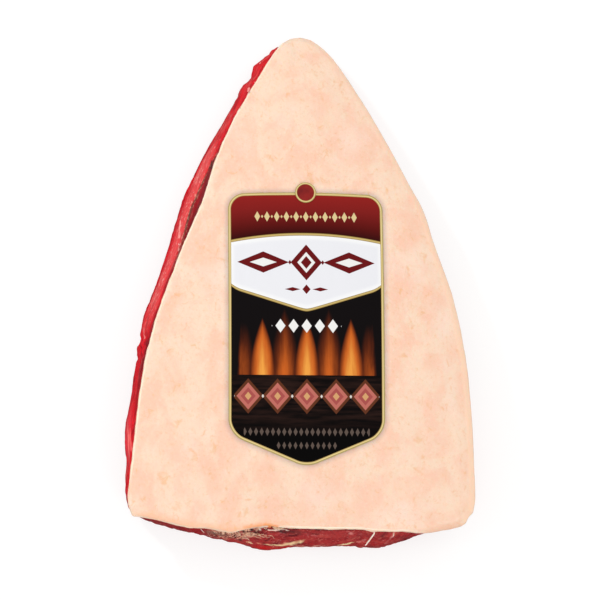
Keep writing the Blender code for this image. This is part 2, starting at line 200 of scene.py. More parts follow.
class Shader:
    """One node material, built round its Principled BSDF."""

    def __init__(self, name: str) -> None:
        """Starts a new material.

        Args:
            name: The material's name.
        """
        self.material = bpy.data.materials.new(name)
        self.material.use_nodes = True
        self.tree = self.material.node_tree
        self.surface = self.tree.nodes["Principled BSDF"]
        self.position = self.add("ShaderNodeTexCoord").outputs["Object"]

    def add(
        self, kind: str, inputs: Mapping[Union[int, str], object] | None = None, **settings: object
    ) -> bpy.types.Node:
        """Adds a node, sets its properties and feeds its sockets.

        Args:
            kind: The node's type.
            inputs: The names or numbers of its sockets, and what each one takes.
            settings: Property names and values.

        Returns:
            The new node.
        """
        node = self.tree.nodes.new(kind)
        for key, value in settings.items():
            setattr(node, key, value)
        for key, value in (inputs or {}).items():
            self.feed(node.inputs[key], value)
        return node

    def feed(self, socket: Socket, value: object) -> None:
        """Sets a socket to a plain value, or links it to a signal or another socket.

        Args:
            socket: The socket.
            value: What it takes.
        """
        if isinstance(value, Signal):
            value = value.socket
        if isinstance(value, Socket):
            self.tree.links.new(value, socket)
        else:
            socket.default_value = value

    def settle(self, **values: object) -> None:
        """Sets sockets that are the same all over, named in lower case with _ for a space."""
        for key, value in values.items():
            self.surface.inputs[key.replace("_", " ").title().replace("Ior", "IOR")].default_value = value

    def along(self, axis: Axis) -> Signal:
        """One coordinate of the surface's place in the row frame, in millimetres."""
        return Signal(self, self.add("ShaderNodeSeparateXYZ", {0: self.position}).outputs[axis.value]) * 1000

    def zone(self, zone: Zone) -> Signal:
        """The value that a field stored on the points has here."""
        return Signal(self, self.add("ShaderNodeAttribute", attribute_name=zone.value).outputs["Fac"])

    def stretched(
        self, sizes: Sequence[float], turn: float = 0.0, shift: float = 0.0, tilt: float = 0.0
    ) -> Socket:
        """The surface's place, counted in units of those sizes.

        Args:
            sizes: The length of one unit along x, y and z, in millimetres.
            turn: Degrees that the pattern is turned about z.
            shift: How far the pattern is moved along each axis, in units of its own.
            tilt: Degrees that it is then turned about x.

        Returns:
            A vector socket.
        """
        place = self.position
        for axis, angle in (("Z_AXIS", turn), ("X_AXIS", tilt)):
            inputs = {"Vector": place, "Angle": math.radians(angle)}
            place = self.add("ShaderNodeVectorRotate", inputs, rotation_type=axis).outputs[0]
        inputs = {"Vector": place, "Scale": [1 / (size * MM) for size in sizes], "Location": [shift] * 3}
        return self.add("ShaderNodeMapping", inputs).outputs[0]

    def clouds(
        self,
        sizes: Sequence[float],
        detail: float = 2.0,
        rough: float = 0.5,
        warp: float = 0.0,
        **place: float,
    ) -> Signal:
        """Fractal noise about 0.5.

        Args:
            sizes: Its size along x, y and z, in millimetres.
            detail: How many finer layers it has.
            rough: How strong the finer layers are.
            warp: How much it is distorted.
            place: The turn, the shift and the tilt that stretched() takes.

        Returns:
            The noise.
        """
        inputs = {"Vector": self.stretched(sizes, **place), "Scale": 1.0}
        inputs |= {"Detail": detail, "Roughness": rough, "Distortion": warp}
        return Signal(self, self.add("ShaderNodeTexNoise", inputs, noise_dimensions="3D").outputs["Fac"])

    def walls(self, place: Socket) -> Signal:
        """The distance to the nearest wall in a pattern of irregular cells, in units of the place."""
        node = self.add("ShaderNodeTexVoronoi", {"Vector": place, "Scale": 1.0}, feature="DISTANCE_TO_EDGE")
        return Signal(self, node.outputs["Distance"])

    def patches(self, place: Socket) -> Signal:
        """A random number from 0 to 1 for each cell of such a pattern."""
        node = self.add("ShaderNodeTexVoronoi", {"Vector": place, "Scale": 1.0}, feature="F1")
        return Signal(self, self.add("ShaderNodeSeparateXYZ", {0: node.outputs["Color"]}).outputs[0])

    def vector(self, operation: str, *values: object) -> Socket:
        """The result of a Vector Math node on sockets or plain vectors."""
        node = self.add("ShaderNodeVectorMath", dict(enumerate(values)), operation=operation)
        return node.outputs["Value" if operation in ("DOT_PRODUCT", "LENGTH") else "Vector"]

    def _stirred(self, place: Socket, reading: Socket, scale: float, reach: float) -> Socket:
        """Moves a place about by noise.

        Args:
            place: The place.
            reading: Where the noise is read.
            scale: How many waves it has in a unit of the reading.
            reach: How far it moves things, in units of the place.

        Returns:
            A vector socket.
        """
        noisy = self.add("ShaderNodeTexNoise", {"Vector": reading, "Scale": scale}, noise_dimensions="3D")
        middle = self.vector("SUBTRACT", noisy.outputs["Color"], (0.5, 0.5, 0.5))
        return self.vector("ADD", self.vector("MULTIPLY", middle, [2 * reach] * 3), place)

    def warped(self, sizes: Sequence[float], reach: float, shift: float = 0.0) -> Socket:
        """The surface's place, counted in units of those sizes in millimetres and bent by noise."""
        place = self.stretched(sizes, shift=shift)
        return self._stirred(place, place, 1.4, reach)

    def wobbled(self, size: float, reach: float, seed: float = 0.0) -> Socket:
        """The surface's place in metres, moved about by noise of that size and reach, in millimetres."""
        return self._stirred(self.position, self.stretched([size] * 3, shift=seed), 1.0, reach * MM)

    def streak(self, streak: "Streak", place: Socket) -> Signal:
        """A mask that is 1 inside a tapered streak and 0 outside it.

        Args:
            streak: Its two ends and widths.
            place: The surface's place, in metres, wobbled where the edge should be ragged.

        Returns:
            The mask.
        """
        start, end = Vector(streak.start) * MM, Vector(streak.end) * MM
        arm = end - start
        away = self.vector("SUBTRACT", place, start)
        share = Signal(self, self.vector("DOT_PRODUCT", away, arm / arm.length_squared)).clamped()
        foot = self.add("ShaderNodeVectorMath", {0: arm, "Scale": share}, operation="SCALE").outputs[0]
        off = Signal(self, self.vector("LENGTH", self.vector("SUBTRACT", away, foot)))
        near, far = streak.widths
        edge = off * 1000 - (share * (far - near) + near)
        return edge.eased(streak.soft, -streak.soft) * streak.strength

    def streaked(self, colour: Colour, place: Socket, *groups: tuple[tuple["Streak", ...], tuple]) -> Colour:
        """Paints groups of streaks over a colour.

        Args:
            colour: The colour.
            place: The surface's place, as wobbled() gives it.
            groups: Pairs of streaks and their tint, the lowest pair first.

        Returns:
            A colour socket.
        """
        for streaks, tint in groups:
            for streak in streaks:
                colour = self.blend(self.streak(streak, place), colour, tint)
        return colour

    def blend(self, share: Number, first: Colour, second: Colour, mode: str = "MIX") -> Socket:
        """Blends two colours, where the share says how much of the second there is."""
        inputs = {"Factor": share, 6: first, 7: second}
        return self.add("ShaderNodeMix", inputs, data_type="RGBA", blend_type=mode).outputs[2]

    def ramp(self, value: Signal, stops: Sequence[tuple[float, tuple]]) -> Socket:
        """Turns a number into a colour.

        Args:
            value: The number.
            stops: Pairs of a number and the colour there.

        Returns:
            A colour socket.
        """
        node = self.add("ShaderNodeValToRGB", {0: value})
        elements = node.color_ramp.elements
        while len(elements) < len(stops):
            elements.new(0.5)
        for element, (place, colour) in zip(elements, stops):
            element.position = place
            element.color = colour
        return node.outputs[0]

    def relief(self, height: Signal, depth: float, under: Socket | None = None) -> Socket:
        """Turns a height into a bumped normal.

        Args:
            height: The height, about 0 to 1.
            depth: How deep a height of 1 is, in millimetres.
            under: The normal of a coarser relief below this one.

        Returns:
            A normal socket.
        """
        inputs = {"Strength": 1.0, "Distance": depth * MM, "Height": height}
        if under is not None:
            inputs["Normal"] = under
        return self.add("ShaderNodeBump", inputs).outputs[0]

    def dress(self, colour: Colour, rough: Number, normal: Socket | None = None) -> bpy.types.Material:
        """Links the surface's colour, roughness and normal.

        Args:
            colour: A colour or a colour socket.
            rough: The roughness.
            normal: A normal socket.

        Returns:
            The finished material.
        """
        self.feed(self.surface.inputs["Base Color"], colour)
        self.feed(self.surface.inputs["Roughness"], rough)
        if normal is not None:
            self.feed(self.surface.inputs["Normal"], normal)
        return self.material


@dataclass(frozen=True)
class Streak:
    """A tapered streak painted across a surface, in the part's millimetres."""

    start: tuple[float, float, float]
    end: tuple[float, float, float]
    widths: tuple[float, float]
    soft: float = 0.4
    strength: float = 1.0


@dataclass(frozen=True)
class FatFinish:
    """Moist beef fat: a softly mottled top with sparse orange blots, and layered lobes where it was cut."""

    cream: tuple = shade(237, 208, 184)
    peach: tuple = shade(237, 194, 169)
    pale: tuple = shade(240, 216, 200)
    blot: tuple = shade(229, 176, 126)
    pink: tuple = shade(238, 178, 164)
    olive: tuple = shade(222, 196, 158)
    speck: tuple = shade(190, 150, 122)
    ivory: tuple = shade(243, 226, 204)
    ivory_low: tuple = shade(242, 216, 188)
    layer: tuple = shade(232, 196, 168)
    layer_mid: tuple = shade(238, 210, 184)
    layer_high: tuple = shade(242, 222, 198)
    wall: tuple = shade(222, 158, 132)
    blush: tuple = shade(240, 182, 142)
    stain: tuple = shade(202, 96, 84)
    seam: tuple = shade(190, 96, 82)
    shadow: tuple = shade(140, 124, 130)
    amber: tuple = shade(238, 148, 82)
    # Colour of the painted shade in the small notches along the cut edge.
    nick_shade: tuple = shade(104, 62, 48)
    # Painted light: the colour that the right-facing edge of the top is lightened towards.
    rim: tuple = shade(254, 214, 184)
    glow: float = 0.30
    specks: tuple = (
        Streak((0.4, 109.8, 29.0), (5.4, 87.8, 34.0), (7.0, 9.0), 6.0),
        Streak((21.4, 75.8, 36.0), (11.4, 65.8, 38.0), (5.0, 6.0), 6.0, 0.7),
    )
    ambers: tuple = (
        Streak((-31.0, -129.6, 44.0), (-22.5, -128.9, 43.9), (0.6, 1.3), 1.4, 0.7),
        Streak((-19.8, -129.0, 43.6), (-14.0, -129.0, 43.2), (1.6, 0.9), 1.0, 0.9),
        Streak((-36.0, -130.6, 43.0), (-48.0, -129.6, 42.0), (0.5, 0.3), 1.2, 0.4),
    )
    # Painted shade: small dark marks where the fat's cut edge has notches near the tip.
    nick_shades: tuple = (
        Streak((-27.3, 107.9, 25.0), (-27.7, 106.6, 26.0), (0.3, 0.4), 0.35, 0.7),
        Streak((-32.4, 98.8, 26.8), (-32.8, 97.6, 27.8), (0.3, 0.4), 0.35, 0.7),
        Streak((-47.4, 68.6, 29.5), (-47.6, 65.4, 30.0), (0.5, 0.8), 0.4, 0.6),
    )

    def material(self) -> bpy.types.Material:
        """Builds the fat's material.

        Returns:
            The material.
        """
        sh = Shader("fat")
        lobes = sh.walls(sh.warped((7.5, 7.5, 3.4), 0.8)).eased(0.16, 0.0)
        lobes = lobes * sh.clouds((9, 9, 5), 2, shift=18.0).eased(0.44, 0.58)
        colour = self._top(sh)
        colour = self._rims(sh, colour, self._cut(sh, lobes))
        stain = sh.zone(Zone.SEAM).eased(0.50, 1.0)
        blood = sh.clouds((5, 5, 2.4), 3, 0.6, shift=16.0).eased(0.42, 0.66)
        colour = sh.blend(stain * 0.75, colour, self.seam)
        colour = sh.blend(sh.zone(Zone.SEAM).eased(0.0, 0.6) * blood * 0.5, colour, self.stain)
        colour = sh.blend(sh.zone(Zone.LABEL_SHADE) * 0.34, colour, self.shadow)
        colour = sh.streaked(colour, sh.wobbled(2.4, 0.5), (self.ambers, self.amber), (self.nick_shades, self.nick_shade))
        coarse = sh.relief(sh.clouds((6, 7, 6), 4, 0.55, 0.5), 0.3)
        dents = sh.relief(lobes * sh.zone(Zone.CUT) * -1, 0.12, coarse)
        small = sh.relief(sh.clouds((1.1, 1.4, 1.1), 3, 0.6, turn=20), 0.12, dents)
        rough = sh.clouds((8, 8, 8), 3, shift=3.0) * 0.25 + 0.32
        sh.settle(subsurface_weight=self.glow, subsurface_scale=3.5 * MM, specular_ior_level=0.3)
        sh.settle(subsurface_radius=(1.0, 0.45, 0.28), coat_weight=0.12, coat_roughness=0.25)
        return sh.dress(colour, rough, small)

    def _top(self, sh: Shader) -> Socket:
        """The fat's own skin: broad cream and peach clouds under a fine grain, with painted light where it
        turns down to the right.

        Args:
            sh: The material under way.

        Returns:
            A colour socket.
        """
        broad = sh.clouds((15, 19, 15), 3, 0.55, 0.6, turn=12).eased(0.36, 0.66)
        colour = sh.blend(broad, self.cream, self.peach)
        pale = sh.clouds((34, 30, 30), 2, shift=4.0).eased(0.54, 0.74) * 0.5
        colour = sh.blend(pale, colour, self.pale)
        blots = sh.clouds((5.0, 6.0, 5.5), 3, 0.6, 0.8, shift=9.0).eased(0.56, 0.74) * 0.6
        colour = sh.blend(blots, colour, self.blot)
        clusters = sh.clouds((17, 15, 17), 2, shift=21.0).eased(0.48, 0.60)
        marks = sh.clouds((2.6, 1.6, 2.2), 4, 0.66, 0.5, turn=25, shift=22.0).eased(0.56, 0.72)
        colour = sh.blend(clusters * marks * 0.55, colour, self.blot)
        fine = sh.clouds((1.6, 1.9, 1.7), 3, 0.65, shift=5.0)
        colour = sh.blend(fine.eased(0.52, 0.80) * 0.5, colour, self.blot)
        colour = sh.blend(fine.eased(0.48, 0.20) * 0.5, colour, self.pale)
        grain = sh.clouds((0.9, 1.0, 0.9), 3, 0.7, shift=13.0)
        colour = sh.blend(grain.eased(0.54, 0.70) * 0.30, colour, self.pink)
        colour = sh.blend(grain.eased(0.44, 0.28) * 0.30, colour, self.olive)
        colour = sh.blend(self._specks(sh), colour, self.speck)
        # Painted light where the top turns down to the right.
        return sh.blend(sh.zone(Zone.RIM) * 0.85, colour, self.rim)

    def _specks(self, sh: Shader) -> Signal:
        """Fine olive scratches: a cluster near the tip, and a thin scatter elsewhere.

        Args:
            sh: The material under way.

        Returns:
            The share that they cover.
        """
        place = sh.wobbled(9.0, 4.0, 2.0)
        cluster = sh.streak(self.specks[0], place) + sh.streak(self.specks[1], place)
        stray = sh.clouds((26, 26, 26), 1, shift=2.0).eased(0.52, 0.66) * 0.5
        scratch = sh.clouds((0.9, 2.6, 1.2), 4, 0.65, 1.2, turn=35, shift=6.0).eased(0.60, 0.78)
        return (scratch * (cluster + stray)).clamped() * 0.55

    def _cut(self, sh: Shader, lobes: Signal) -> Socket:
        """A cut face: thin lying layers, lobes with rosy walls and peach blotches.

        Args:
            sh: The material under way.
            lobes: The walls between the lobes.

        Returns:
            A colour socket.
        """
        layers = sh.clouds((19, 19, 1.7), 4, 0.6, 0.6, shift=15.0)
        colour = sh.ramp(layers, ((0.32, self.layer), (0.50, self.layer_mid), (0.68, self.layer_high)))
        blotch = sh.clouds((7, 7, 3.6), 4, 0.62, shift=17.0).eased(0.46, 0.70)
        colour = sh.blend(blotch * 0.65, colour, self.peach)
        colour = sh.blend(lobes * 0.22, colour, self.wall)
        grain = sh.clouds((1.2, 1.2, 0.8), 3, 0.6).eased(0.58, 0.75)
        return sh.blend(grain * 0.35, colour, self.blot)

    def _rims(self, sh: Shader, top: Colour, cut_face: Colour) -> Socket:
        """Joins the top and the cut faces by an ivory line, and adds a blush where the edge thins.

        Args:
            sh: The material under way.
            top: The top's colour.
            cut_face: The cut faces' colour.

        Returns:
            A colour socket.
        """
        across = sh.along(Axis.X)
        side = sh.zone(Zone.SIDE_GAP) * -1
        end = sh.zone(Zone.END_GAP) * -1
        ragged = (sh.clouds((5, 5, 5), 3, shift=3.0) - 0.5) * 1.2
        where = across.within(-89.0, -5.0, 6.0) + across.within(29.0, 83.0, 8.0) * 0.4
        blush = (end + ragged * 3).eased(5.0, 0.5) * where
        colour = sh.blend(blush.clamped() * 0.55, top, self.blush)
        left = (side + ragged * 0.4).eased(1.25, 0.65) * end.eased(10.0, 24.0)
        front = (end + ragged * 0.7).eased(1.35, 0.7) * across.within(-10.0, 61.0, 6.0)
        grain = sh.clouds((2.2, 2.2, 1.1), 3, 0.6).eased(0.3, 0.75)
        ivory = sh.blend(grain * 0.5, self.ivory, self.ivory_low)
        colour = sh.blend(left.higher(front), colour, ivory)
        return sh.blend(sh.zone(Zone.CUT), colour, cut_face)


@dataclass(frozen=True)
class LeanFinish:
    """Wet raw muscle: fibres and torn film down the flanks, cut bundles at the end, silverskin below."""

    bright: tuple = shade(200, 12, 26)
    lit: tuple = shade(218, 20, 36)
    rose: tuple = shade(218, 80, 80)
    deep: tuple = shade(118, 10, 22)
    shaded: tuple = shade(136, 12, 24)
    brown: tuple = shade(92, 54, 40)
    cut_red: tuple = shade(158, 36, 38)
    cut_light: tuple = shade(190, 78, 66)
    cut_dark: tuple = shade(88, 10, 20)
    lip: tuple = shade(178, 18, 20)
    hollow_shade: tuple = shade(50, 22, 18)
    torn: tuple = shade(216, 160, 134)
    tallow: tuple = shade(234, 200, 152)
    marble: tuple = shade(228, 178, 156)
    film: tuple = shade(240, 164, 156)
    silver: tuple = shade(222, 166, 156)
    gleam: tuple = shade(246, 112, 106)
    white: tuple = shade(250, 230, 210)
    groove: tuple = shade(92, 6, 16)
    low_red: tuple = shade(152, 10, 24)
    spindle_sheen: tuple = shade(232, 62, 74)
    inner: tuple = shade(92, 24, 28)
    sheen_stroke: tuple = shade(214, 124, 104)
    sliver: tuple = shade(140, 12, 22)
    # Colour of the painted shade under the fat's edge.
    under_fat_shade: tuple = shade(70, 10, 16)
    spark: tuple = shade(248, 224, 202)
    stained: tuple = shade(132, 100, 84)
    tallow_streaks: tuple = (
        Streak((-28.2, -136.7, 27.0), (-25.9, -137.0, 25.2), (0.8, 0.4), 0.4, 0.9),
        Streak((-25.7, -137.0, 24.7), (-18.0, -137.8, 23.7), (0.25, 0.3), 0.25, 0.6),
        Streak((-18.0, -137.8, 23.7), (-10.5, -138.1, 23.0), (0.3, 0.6), 0.3, 0.75),
        Streak((-10.5, -138.1, 23.0), (-4.1, -137.6, 23.2), (0.6, 1.3), 0.9, 0.9),
        Streak((-4.1, -137.6, 23.2), (0.2, -136.6, 24.6), (1.3, 0.9), 1.1, 0.75),
        Streak((0.2, -136.6, 24.6), (2.4, -135.6, 26.2), (0.9, 0.3), 0.9, 0.6),
        Streak((20.9, -137.7, 19.9), (26.9, -137.2, 24.2), (0.5, 0.9), 0.35, 0.9),
        Streak((26.9, -137.2, 24.2), (30.1, -136.1, 26.7), (0.9, 0.25), 0.35, 0.85),
    )
    # Painted glints and highlights on the left flank and on ridges of the cut end, with a few pale film
    # marks.
    film_and_glint_streaks: tuple = (
        Streak((-64.2, 40.9, 20.5), (-65.0, 27.4, 24.0), (0.3, 0.65), 0.35, 0.85),
        Streak((-63.8, 26.9, 25.5), (-65.8, 19.9, 25.7), (0.3, 0.35), 0.3, 0.7),
        Streak((-21.0, 125.9, 12.0), (-20.6, 125.1, 12.5), (0.5, 0.4), 0.35, 0.8),
        Streak((-27.3, 110.5, 18.0), (-27.5, 108.9, 18.5), (0.5, 0.6), 0.35, 0.8),
        Streak((-84.2, -22.0, 26.0), (-83.6, -28.0, 29.0), (0.25, 0.6), 0.35, 0.5),
        Streak((-73.2, 4.4, 25.3), (-74.0, 2.4, 25.3), (0.5, 0.5), 0.4, 0.5),
        Streak((2.5, -133.0, 30.6), (8.5, -133.4, 30.2), (0.25, 0.3), 0.4, 0.3),
        Streak((26.2, -132.0, 31.8), (27.6, -132.6, 31.2), (0.8, 0.7), 0.6, 0.45),
        Streak((45.7, -136.0, 24.8), (48.8, -133.1, 30.1), (0.8, 0.7), 0.8, 0.40),
        Streak((48.8, -133.1, 30.1), (49.7, -131.1, 32.7), (0.7, 0.3), 0.5, 0.40),
        Streak((31.1, -137.0, 25.7), (34.5, -135.2, 28.9), (0.8, 0.5), 0.6, 0.30),
    )
    # White marks on the ledge and the tallow: mostly painted glints, some cream fat.
    white_and_glint_streaks: tuple = (
        Streak((-17.7, -130.4, 32.7), (-12.0, -130.6, 32.4), (0.35, 0.55), 0.3, 0.85),
        Streak((-10.8, -130.3, 32.6), (-6.6, -130.5, 32.3), (0.5, 0.2), 0.3, 0.65),
        Streak((-24.6, -129.6, 33.5), (-18.6, -128.2, 34.8), (0.5, 1.0), 0.6, 0.85),
        Streak((-23.4, -130.0, 33.5), (-21.6, -130.4, 33.2), (0.7, 0.4), 0.4, 0.8),
        Streak((-45.9, -131.4, 30.6), (-43.5, -131.7, 30.4), (0.3, 0.2), 0.3, 0.5),
        Streak((-27.0, -137.0, 26.0), (-25.6, -137.2, 25.2), (0.5, 0.3), 0.4, 0.7),
    )
    # Painted highlights along the bulge low on the left flank.
    gleam_streaks: tuple = (
        Streak((-92.8, -72.0, 26.0), (-92.2, -82.0, 29.0), (0.5, 1.8), 1.4, 0.8),
        Streak((-92.2, -82.0, 29.0), (-91.8, -93.0, 29.0), (1.8, 0.4), 1.4, 0.8),
        Streak((-91.4, -77.0, 31.0), (-90.6, -88.0, 33.0), (0.4, 0.9), 0.7, 0.7),
    )
    torn_streaks: tuple = (
        Streak((-32.9, -134.2, 29.2), (-28.4, -133.3, 32.4), (0.5, 0.8), 0.4, 0.75),
        Streak((-28.4, -133.3, 32.4), (-21.8, -135.0, 30.3), (0.8, 0.3), 0.4, 0.75),
        Streak((-47.6, -130.9, 31.0), (-40.1, -131.7, 32.3), (0.6, 0.8), 0.4, 0.50),
    )
    lip_streaks: tuple = (
        Streak((-27.5, -137.3, 22.0), (-19.0, -138.4, 19.5), (1.0, 3.0), 0.8, 0.8),
        Streak((-19.0, -138.4, 19.5), (-5.0, -139.0, 18.5), (3.0, 1.4), 0.8, 0.8),
    )
    # Painted shade: cracks and hollows in the torn tissue, a line under the ledge, and two notches on the
    # flank near the tip.
    hollow_shade_streaks: tuple = (
        Streak((-17.0, -131.4, 31.7), (-8.0, -131.5, 31.4), (0.5, 0.4), 0.3, 0.9),
        Streak((-40.6, -131.9, 31.2), (-38.4, -132.2, 31.0), (0.9, 0.5), 0.6, 0.7),
        Streak((-31.0, -131.2, 33.1), (-28.4, -131.2, 33.1), (0.5, 0.4), 0.4, 0.85),
        Streak((-36.4, -133.6, 30.4), (-34.6, -134.4, 29.8), (0.6, 0.4), 0.5, 0.7),
        Streak((-32.4, -135.4, 28.4), (-31.2, -136.3, 27.2), (0.7, 0.5), 0.4, 0.8),
        Streak((-24.6, -131.6, 32.2), (-21.0, -132.0, 31.8), (0.5, 0.4), 0.4, 0.6),
        Streak((-6.0, -131.2, 31.9), (1.0, -131.6, 31.6), (0.2, 0.5), 0.5, 0.6),
        Streak((1.0, -131.6, 31.6), (9.5, -132.3, 31.3), (0.5, 0.2), 0.5, 0.6),
        Streak((-19.4, -129.9, 33.4), (-17.6, -130.1, 33.2), (0.6, 0.4), 0.3, 0.8),
        Streak((-27.4, 108.2, 19.5), (-27.7, 106.2, 21.0), (0.7, 0.5), 0.4, 0.7),
        Streak((-47.7, 68.8, 24.8), (-47.9, 65.2, 26.2), (0.6, 0.9), 0.4, 0.8),
    )

    def material(self) -> bpy.types.Material:
        """Builds the lean's material.

        Returns:
            The material.
        """
        sh = Shader("lean")
        fibres = sh.clouds((0.9, 24, 0.9), 3, 0.62, 0.3, turn=GRAIN_TURN, tilt=GRAIN_TILT)
        colour = sh.blend(sh.zone(Zone.CUT), self._flank(sh, fibres), self._face(sh))
        colour = self._fray(sh, self._film(sh, colour, fibres))
        groups = (
            (self.lip_streaks, self.lip),
            (self.tallow_streaks, self.tallow),
            (self.film_and_glint_streaks, self.film),
            (self.gleam_streaks, self.gleam),
            (self.white_and_glint_streaks, self.white),
            (self.torn_streaks, self.torn),
            (self.hollow_shade_streaks, self.hollow_shade),
        )
        colour = sh.streaked(colour, sh.wobbled(2.4, 0.8), *groups)
        # Painted shade: the lean is darkened under and beside the fat.
        seam = sh.zone(Zone.SEAM) ** 3.0 * (sh.along(Axis.Y).within(-58.0, 82.0, 12.0) * 0.5 + 0.2)
        colour = sh.blend(seam, colour, self.deep)
        coarse = sh.relief(fibres, 0.22)
        fine = sh.relief(sh.clouds((0.7, 4.0, 0.7), 3, 0.6, turn=GRAIN_TURN), 0.10, coarse)
        rough = sh.clouds((5, 9, 5), 3, shift=2.0) * 0.3 + 0.24
        sh.settle(subsurface_weight=0.1, subsurface_scale=2.0 * MM, specular_ior_level=0.10)
        sh.settle(subsurface_radius=(1.0, 0.25, 0.2), coat_weight=0.32, coat_roughness=0.09, coat_ior=1.30)
        return sh.dress(colour, rough, fine)

    def _flank(self, sh: Shader, fibres: Signal) -> Socket:
        """The rolls down the sides: painted light and shade by bundle height and lower down, a painted rosy
        sheen along the top of the roll, and painted shade beside the fat on the left.

        Args:
            sh: The material under way.
            fibres: The pattern of its fibres.

        Returns:
            A colour socket.
        """
        share, gap, along = sh.zone(Zone.SIDE_SHARE), sh.zone(Zone.SIDE_GAP), sh.along(Axis.Y)
        left, height = gap.eased(-8.0, -3.0), sh.zone(Zone.HEIGHT)
        # Painted light and shade: the bundles' crests take the lit red, and the grooves between them a dark
        # red.
        stops = ((0.0, self.groove), (0.28, self.low_red), (0.6, self.bright), (1.0, self.lit))
        colour = sh.ramp(sh.zone(Zone.BUNDLE), stops)
        drift = sh.clouds((16, 48, 9), 3, 0.55, turn=GRAIN_TURN, shift=2.0).eased(0.42, 0.62)
        colour = sh.blend((drift * 0.45 + 0.55) * height.eased(0.66, 0.30) * 0.85, colour, self.shaded)
        bands = sh.clouds((2.6, 44, 2.4), 3, 0.6, turn=GRAIN_TURN, shift=4.0, tilt=GRAIN_TILT)
        colour = sh.blend(bands.eased(0.48, 0.34) * 0.55, colour, self.deep)
        colour = sh.blend(fibres.eased(0.47, 0.30) * 0.75, colour, self.deep)
        calm = along.within(-42.0, 84.0, 16.0) * 0.15 + 0.08
        colour = sh.blend(fibres.eased(0.60, 0.76) * calm, colour, self.rose)
        outer = share.within(0.80, 1.2, 0.06) * height.eased(0.50, 0.66) * left
        colour = sh.blend(outer * 0.4, colour, self.lit)
        sway = sh.clouds((8, 26, 8), 3, 0.6, turn=GRAIN_TURN, shift=3.0) - 0.5
        wave = share + sway * 0.35
        spot = sh.clouds((1.1, 2.6, 1.1), 3, 0.62, turn=GRAIN_TURN, shift=7.0)
        rosy = along.eased(-34.0, -6.0) * (1 - along.eased(70.0, 90.0) * 0.9)
        # Painted sheen: a rosy, speckled band along the top of the roll stands in for a broad highlight.
        crown_sheen = wave.within(0.30, 0.80, 0.15) * rosy * left * height.eased(0.36, 0.52)
        colour = sh.blend(crown_sheen * (spot * 0.8 + 0.45).clamped() * 0.85, colour, self.rose)
        colour = sh.blend(spot.eased(0.54, 0.70) * crown_sheen * 0.55, colour, self.film)
        # Painted highlight: a pinker band over the bulge low on the left flank.
        spindle_sheen = wave.within(0.25, 0.95, 0.1) * along.within(-94.0, -68.0, 6.0)
        spindle_sheen = spindle_sheen * left * height.eased(0.4, 0.6)
        colour = sh.blend(spindle_sheen * 0.5, colour, self.spindle_sheen)
        fold = sh.zone(Zone.FOLD) + sway * 0.10
        # Painted shade: the flank below the fold line, beside the fat, is darkened.
        colour = sh.blend(fold.eased(0.03, -0.05) * left * 0.75, colour, self.deep)
        # Painted shade: a brown line in the valley between the fold and the roll.
        groove = abs(fold).eased(0.060, 0.020) * left
        colour = sh.blend(groove * 0.85, colour, self.brown)
        fleck = spot.eased(0.50, 0.64) * abs(fold - 0.03).eased(0.16, 0.04) * left
        colour = sh.blend(fleck * 0.5, colour, self.torn)
        # Painted shade: a narrow band of the flank just beside the fat's edge is darkened.
        inner = gap.eased(1.3, 0.3) * along.within(-62.0, 79.0, 12.0)
        return sh.blend(inner * 0.6, colour, self.inner)

    def _face(self, sh: Shader) -> Socket:
        """The cut end: wine red bundle ends with painted shade between them and just under the fat, oblique
        strokes of painted sheen, and brighter along its lower lip.

        Args:
            sh: The material under way.

        Returns:
            A colour socket.
        """
        across, height = sh.along(Axis.X), sh.zone(Zone.HEIGHT)
        mottle = sh.clouds((11, 9, 5), 4, 0.62, 0.7, shift=1.0)
        stops = ((0.30, self.cut_dark), (0.46, self.cut_red), (0.60, self.cut_red), (0.78, self.cut_light))
        colour = sh.ramp(mottle, stops)
        place = sh.warped((4.0, 4.0, 2.6), 0.7)
        tone = sh.patches(place)
        colour = sh.blend(tone.eased(0.5, 1.0) * 0.20, colour, self.cut_light)
        colour = sh.blend(tone.eased(0.45, 0.0) * 0.28, colour, self.cut_dark)
        # Painted shade in the grooves between the bundle ends.
        colour = sh.blend(sh.zone(Zone.BUNDLE).eased(0.34, 0.0) * 0.60, colour, self.cut_dark)
        # Painted sheen: oblique pinkish strokes across the cut face, with the same noise darkening it between
        # them.
        sheen_stroke = sh.clouds((2.6, 8.0, 2.0), 3, 0.6, turn=40, shift=12.0)
        colour = sh.blend(sheen_stroke.eased(0.56, 0.72) * 0.35, colour, self.sheen_stroke)
        colour = sh.blend(sheen_stroke.eased(0.44, 0.30) * 0.35, colour, self.cut_dark)
        grain = sh.clouds((1.4, 1.4, 0.9), 4, 0.68, shift=7.0)
        colour = sh.blend(grain.eased(0.55, 0.74) * 0.32, colour, self.film)
        colour = sh.blend(grain.eased(0.46, 0.28) * 0.42, colour, self.cut_dark)
        marbled = sh.clouds((14, 14, 9), 2, 0.6, shift=20.0)
        veins = sh.walls(sh.warped((24, 22, 8.5), 0.75, 8.0))
        vein = (veins - marbled.eased(0.46, 0.66) * 0.034).eased(0.008, -0.006) * marbled.eased(0.47, 0.52)
        colour = sh.blend(vein * height.eased(0.72, 0.58) * 0.6, colour, self.marble)
        ragged = (sh.clouds((9, 9, 5), 3, 0.6, shift=9.0) - 0.5) * 26
        sliver = (across + ragged * 0.5).eased(-40.0, -58.0)
        colour = sh.blend(sliver * 0.55, colour, self.sliver)
        tail = across.within(54.0, 80.0, 5.0) * sh.zone(Zone.END_GAP).eased(0.8, 3.0)
        colour = sh.blend(tail * 0.65, colour, self.cut_dark)
        jag = (sh.clouds((2.6, 2.6, 2.6), 3, 0.6, shift=14.0) - 0.5) * 2.4
